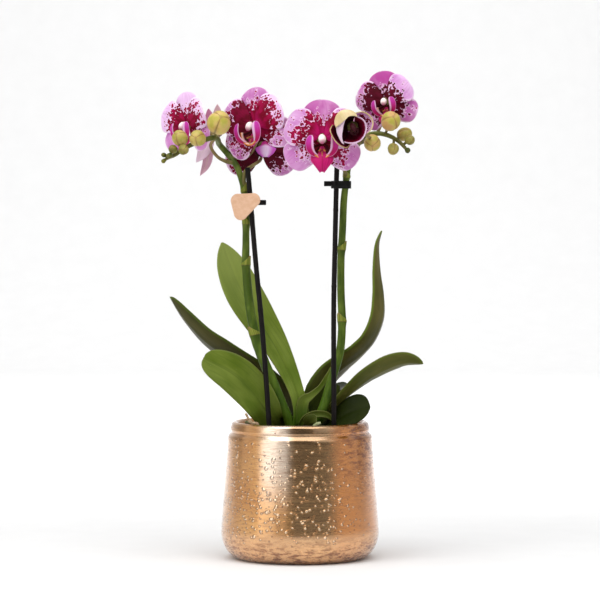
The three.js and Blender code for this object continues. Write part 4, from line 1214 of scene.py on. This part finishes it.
def lip_middle(number, bloom):
    """Middle lobe: broad where it leaves the throat, straight-sided down to a notched tip."""
    u, v = net(34, 21)
    base, size, shade = Vector(MIDDLE_LOBE[0]), bloom["middle"], bloom["shade"]
    line = [base + (Vector(point) - base) * size for point in MIDDLE_LOBE]
    width, shares, notch = MIDDLE_WIDTH * size**0.5, MIDDLE_SHARES, MIDDLE_NOTCH
    if number == FAN_LIPPED:
        line, width, shares, notch, shade = FAN_LINE, FAN_WIDTH, FAN_SHARES, FAN_NOTCH, 0.0
    keel = 0.9 * bell(v, 0.13) * u
    grid = strap(u, v, line, width, between(shares, u), -2.0, UP, notch=notch, relief=keel)
    build = Build()
    build.sheet(u, v, grid, (0.6 + 0.8 * (1 - v**2)) * (1 - 0.4 * u), 3 * number, upper_first=False,
                violet=bloom["violet"], shade=shade)
    return build


def lip_sides(number, bloom):
    """Two ears that stand up beside the column."""
    u, v = net(30, 17, 0.9985)
    outline = blade_width(u, 1.0, 0.45, 0.2 * (1 - u), 0.05)
    build = Build()
    for hand in (-1, 1):
        line = [(hand * x, y, z) for x, y, z in SIDE_LOBE]
        grid = strap(u, v, line, SIDE_WIDTH, outline, 1.3, UP, [hand * 8, hand * 22, hand * 30])
        build.sheet(u, v, grid, 0.4 + 0.5 * (1 - v**2), number + hand, upper_first=False, across=-hand * v,
                    shade=bloom["shade"])
    return build


def lip_throat(number, bloom):
    """Bowl between the ears, from the foot of the column out to a yellow rim."""
    u, v = net(20, 25, eased=False)
    turn = v * math.radians(100)
    x = (0.3 + 7.9 * u) * np.sin(turn)
    y = -2.8 - 3.6 * np.sqrt(u) - (0.2 + 9.2 * u) * np.cos(turn)
    grid = np.stack([x, y, 1.6 + 6.2 * u**1.7], axis=2)
    build = Build()
    build.sheet(u, v, grid, np.full(u.shape, 0.7), shade=bloom["shade"])
    return build


def lip_callus(number, bloom):
    """Two small horns and a keel on the floor of the throat."""
    build = Build()
    horns = [([(hand * 0.8, -8.2, 4.0), (hand * 1.8, -9.4, 6.2), (hand * 2.6, -9.6, 7.8)], 0.75, 16)
             for hand in (-1, 1)]
    keel = ([(0, -9.6, 4.6), (0, -12.4, 6.6), (0, -14.9, 8.2)], 0.45, 12)
    for line, size, sides in (*horns, keel):
        build.tube(smooth_path(line), lambda s: size * math.sqrt(max(1 - (2 * s - 1) ** 4, 0.02)), 14, sides,
                   shade=bloom["shade"])
    return build


def make_lip(number, bloom, materials):
    matrix = bloom_matrix(bloom)
    shrink = Matrix.Translation(LIP_FOOT) @ Matrix.Scale(bloom["lip"], 4) @ Matrix.Translation(-LIP_FOOT)
    for part in (lip_middle, lip_sides, lip_throat, lip_callus):
        own_place = part is lip_middle and number == FAN_LIPPED
        build = part(number, bloom).moved(matrix if own_place else matrix @ shrink)
        build.piece(f"bloom_{number}_{part.__name__}", materials[part], [f"bloom_{number}_lip"], "lip")


def make_column(number, bloom, material):
    build = Build()
    build.tube(smooth_path(COLUMN_LINE), lambda s: bloom["cap"] * between(COLUMN_RADII, s), 44, 28,
               lobes=lambda s, a: 1 - 0.05 * np.cos(2 * a), along=lambda s: s, shade=bloom["shade"])
    build.moved(bloom_matrix(bloom)).piece(
        f"bloom_{number}_cap", material, [f"bloom_{number}_column"], "column")


# Sticks, clips and tag

def make_stake(name, material):
    """Slim stick with four faint joints."""
    joints = (0.22, 0.47, 0.71, 0.93)
    build = Build()
    path = smooth_path(STAKES[name])
    build.tube(path, lambda s: STAKE_RADIUS + sum(0.16 * bell(s - j, 0.004) for j in joints), 320, 24)
    build.piece(f"{name}_rod", material, [name], "stake_black")


def make_clip(name, material):
    """Flat band about stem and stick, with a toothed tail."""
    spike, stake, bottom, reach = CLIPS[name]
    middle = bottom + CLIP_BAND / 2
    stem, rod = smooth_path(SPIKES[spike]["path"]), smooth_path(STAKES[stake])
    a, b = stem(share_at_height(stem, middle)), rod(share_at_height(rod, middle))
    span = (b - a).xy
    low, high = bottom - CLIP_DEEPER, bottom + CLIP_BAND
    inner, outer, soft = CLIP_INNER, CLIP_INNER + CLIP_WALL, 0.35
    section = [
        (inner, high - soft), (inner + soft, high), (outer - soft, high), (outer, high - soft),
        (outer, low + soft), (outer - soft, low), (inner + soft, low), (inner, low + soft),
    ]
    bends = [(span.length / 2, -math.pi / 2), (-span.length / 2, math.pi / 2)]
    loop = [(end, start + math.pi * k / 20) for end, start in bends for k in range(21)]
    points = [(end + size * math.cos(angle), size * math.sin(angle), height)
              for end, angle in loop for size, height in section]
    build = Build()
    build.add(points, quads(len(loop), len(section), ring=True))
    heading = Matrix.Rotation(math.atan2(span.y, span.x), 4, "Z")
    build.moved(Matrix.Translation((*((a + b) / 2).xy, 0)) @ heading)

    reach = Vector(reach)
    direction = reach.normalized()
    start = Vector((b.x, b.y, middle)) + direction * (CLIP_INNER + 0.4)
    wall, tall, steps = CLIP_WALL / 2, (CLIP_BAND - 0.4) / 2, 22
    across = UP.cross(direction)
    corners = ((-1, -0.8), (-0.7, -1), (0.7, -1), (1, -0.8), (1, 0.8), (0.7, 1), (-0.7, 1), (-1, 0.8))
    rings = []
    for k in range(steps + 1):
        tooth = 0.14 * (k % 2) if 0.25 < k / steps < 0.95 else 0
        squeeze = 0.8 if k in (0, steps) else 1
        x, z = np.array(corners).T * squeeze
        rings.append(offset(start + reach * k / steps, (across, x * (wall - tooth)), (UP, z * tall)))
    build.loft(rings)
    build.piece(f"{name}_band", material, [name], "clip_black")


def make_tag(material):
    """Bare card like a plectrum: three rounded corners joined by straight sides."""
    outline = [(x + TAG_ROUND * math.cos(angle), z + TAG_ROUND * math.sin(angle))
               for (x, z), start, end in TAG_CORNERS for angle in np.radians(np.linspace(start, end, 14))]
    _, stake, bottom, _ = CLIPS["clip_left"]
    rod = smooth_path(STAKES[stake])
    back = rod(share_at_height(rod, bottom + CLIP_BAND / 2)).y - CLIP_INNER - CLIP_WALL - GAP
    layers = ((0.0, 0.7), (0.0, 0.97), (0.15, 1.0), (0.85, 1.0), (1.0, 0.97), (1.0, 0.7))
    build = Build()
    build.loft([[(TAG_X + x * shrink, back - depth * TAG_THICK, TAG_Z + z * shrink) for x, z in outline]
                for depth, shrink in layers])
    build.piece("tag_card", material, ["tag"], "tag_card")


# The scene

def make_orchid():
    stem, leaf, bark = stem_material(), leaf_material(), bark_material()
    nursery = plain_material("nursery", [(92, 96, 88), (126, 128, 118)], (90.0, 4.0), (0.35, 0.7), (0.1, 0.2),
                             (0.22, 0.42), Coat_Weight=0.2)
    lathe(pot_profile(), 256).piece("pot_glazed", pot_material(), ["pot"], "pot_glaze")
    lathe(rounded(NURSERY, 0.6, 4), 160).piece("nursery_cup", nursery, ["nursery_pot"], "nursery_plastic")
    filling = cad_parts["potting_bark"]
    filling.data.materials.clear()
    filling.data.materials.append(bark)
    make_bark(bark)
    make_crown(stem)
    make_sheaths(leaf)
    for seed, name in enumerate(LEAVES):
        make_leaf(name, leaf, seed)
    spike_materials = {"stem": stem, "bract": bract_material(), "bud": bud_material()}
    for name in SPIKES:
        make_spike(name, spike_materials)
    tepals, column = tepal_material(), column_material()
    lips = {lip_middle: lip_material(), lip_sides: side_lobe_material(), lip_throat: throat_material(),
            lip_callus: callus_material()}
    for number, bloom in enumerate(BLOOMS, 1):
        make_tepals(number, bloom, tepals)
        make_neck(number, bloom, stem)
        make_lip(number, bloom, lips)
        make_column(number, bloom, column)
    stake = plain_material("stake", [(16, 12, 12), (28, 23, 22)], (900.0, 3.0), (0.4, 0.75), (0.2, 0.12),
                           (0.42, 0.6), squeeze=0.06, gloss=0.12)
    clip = plain_material("clip", [(12, 11, 11), (27, 26, 26)], (500.0, 3.0), (0.45, 0.8), (0.2, 0.1),
                          (0.3, 0.5), gloss=0.12)
    for name in STAKES:
        make_stake(name, stake)
    for name in CLIPS:
        make_clip(name, clip)
    make_tag(tag_material())
    skins = {"root_dry": [(150, 122, 92), (206, 184, 152)], "root_green": [(132, 140, 92), (176, 178, 140)]}
    for kind, colors in skins.items():
        skin = plain_material(kind, colors, (420.0, 5.0, 0.65), (0.35, 0.68), (0.7, 0.5), Roughness=0.75)
        for name in ROOTS:
            if name.startswith(kind):
                make_root(name, skin)


def make_stage():
    """Pale floor that curves up into a wall well behind the plant."""
    profile = [(-16.0, 0.0), (2.6, 0.0)]
    profile += [(2.6 + 0.9 * math.sin(t), 0.9 - 0.9 * math.cos(t)) for t in np.linspace(0.1, math.pi / 2, 16)]
    profile.append((3.5, 4.0))
    points = [(x, y, z) for y, z in profile for x in (-14.0, 14.0)]
    faces = [[2 * k, 2 * k + 1, 2 * k + 3, 2 * k + 2] for k in range(len(profile) - 1)]
    mesh = bpy.data.meshes.new("floor")
    mesh.from_pydata(points, [], faces)
    mesh.shade_smooth()
    mesh.materials.append(plain_material("floor", [(228.5, 228.5, 228.5), (233.7, 233.7, 233.7)], (30.0, 4.0),
                                         None, None, Roughness=0.7))
    floor = bpy.data.objects.new("floor", mesh)
    bpy.context.scene.collection.objects.link(floor)


def add_light(name, azimuth, elevation, distance, size, radiance):
    """Soft box that points at the plant. Azimuth runs from the viewer to the viewer's right."""
    target = Vector((0, 0, 0.2))
    a, e = math.radians(azimuth), math.radians(elevation)
    out = Vector((math.sin(a) * math.cos(e), -math.cos(a) * math.cos(e), math.sin(e)))
    data = bpy.data.lights.new(name, "AREA")
    data.shape = "RECTANGLE"
    data.size, data.size_y = size
    data.energy = radiance * math.pi * size[0] * size[1]
    light = bpy.data.objects.new(name, data)
    light.location = target + out * distance
    light.rotation_euler = (-out).to_track_quat("-Z", "Y").to_euler()
    bpy.context.scene.collection.objects.link(light)
    return light


def make_light():
    add_light("softbox_left", -50, 22, 1.9, (1.0, 2.0), 1.35)
    add_light("softbox_edge", -28, 22, 1.9, (0.62, 2.0), 0.55)
    add_light("softbox_right", 41, 32, 1.9, (1.3, 1.6), 0.7)
    add_light("softbox_top", -10, 68, 2.0, (2.4, 1.8), 2.7)
    wall = add_light("wall_light", 180, 40, 1.6, (3.4, 1.6), 2.2)
    wall.rotation_euler = (math.radians(50), 0, 0)


def make_world():
    """Pale surroundings that are dim behind the viewer, which puts a dark band on the glaze."""
    world = bpy.data.worlds.new("studio")
    world.use_nodes = True
    nodes, links = world.node_tree.nodes, world.node_tree.links
    direction = nodes.new("ShaderNodeTexCoord")
    parts = nodes.new("ShaderNodeSeparateXYZ")
    level = nodes.new("ShaderNodeMapRange")
    level.interpolation_type = "SMOOTHSTEP"
    for socket, value in zip(("From Min", "From Max", "To Min", "To Max"), (-0.85, -0.35, 0.12, 0.75)):
        level.inputs[socket].default_value = value
    links.new(direction.outputs["Generated"], parts.inputs[0])
    links.new(parts.outputs["Y"], level.inputs["Value"])
    links.new(level.outputs[0], nodes["Background"].inputs["Strength"])
    nodes["Background"].inputs["Color"].default_value = (1, 1, 1, 1)
    bpy.context.scene.world = world


def make_camera():
    data = bpy.data.cameras.new("camera")
    data.lens = CAMERA_LENS
    data.clip_end = 50
    camera = bpy.data.objects.new("camera", data)
    camera.location = CAMERA_PLACE
    camera.rotation_euler = (CAMERA_AIM - CAMERA_PLACE).to_track_quat("-Z", "Y").to_euler()
    bpy.context.scene.collection.objects.link(camera)
    bpy.context.scene.camera = camera


make_stage()
make_orchid()
make_light()
make_world()
make_camera()
bpy.context.scene.view_settings.view_transform = "Standard"
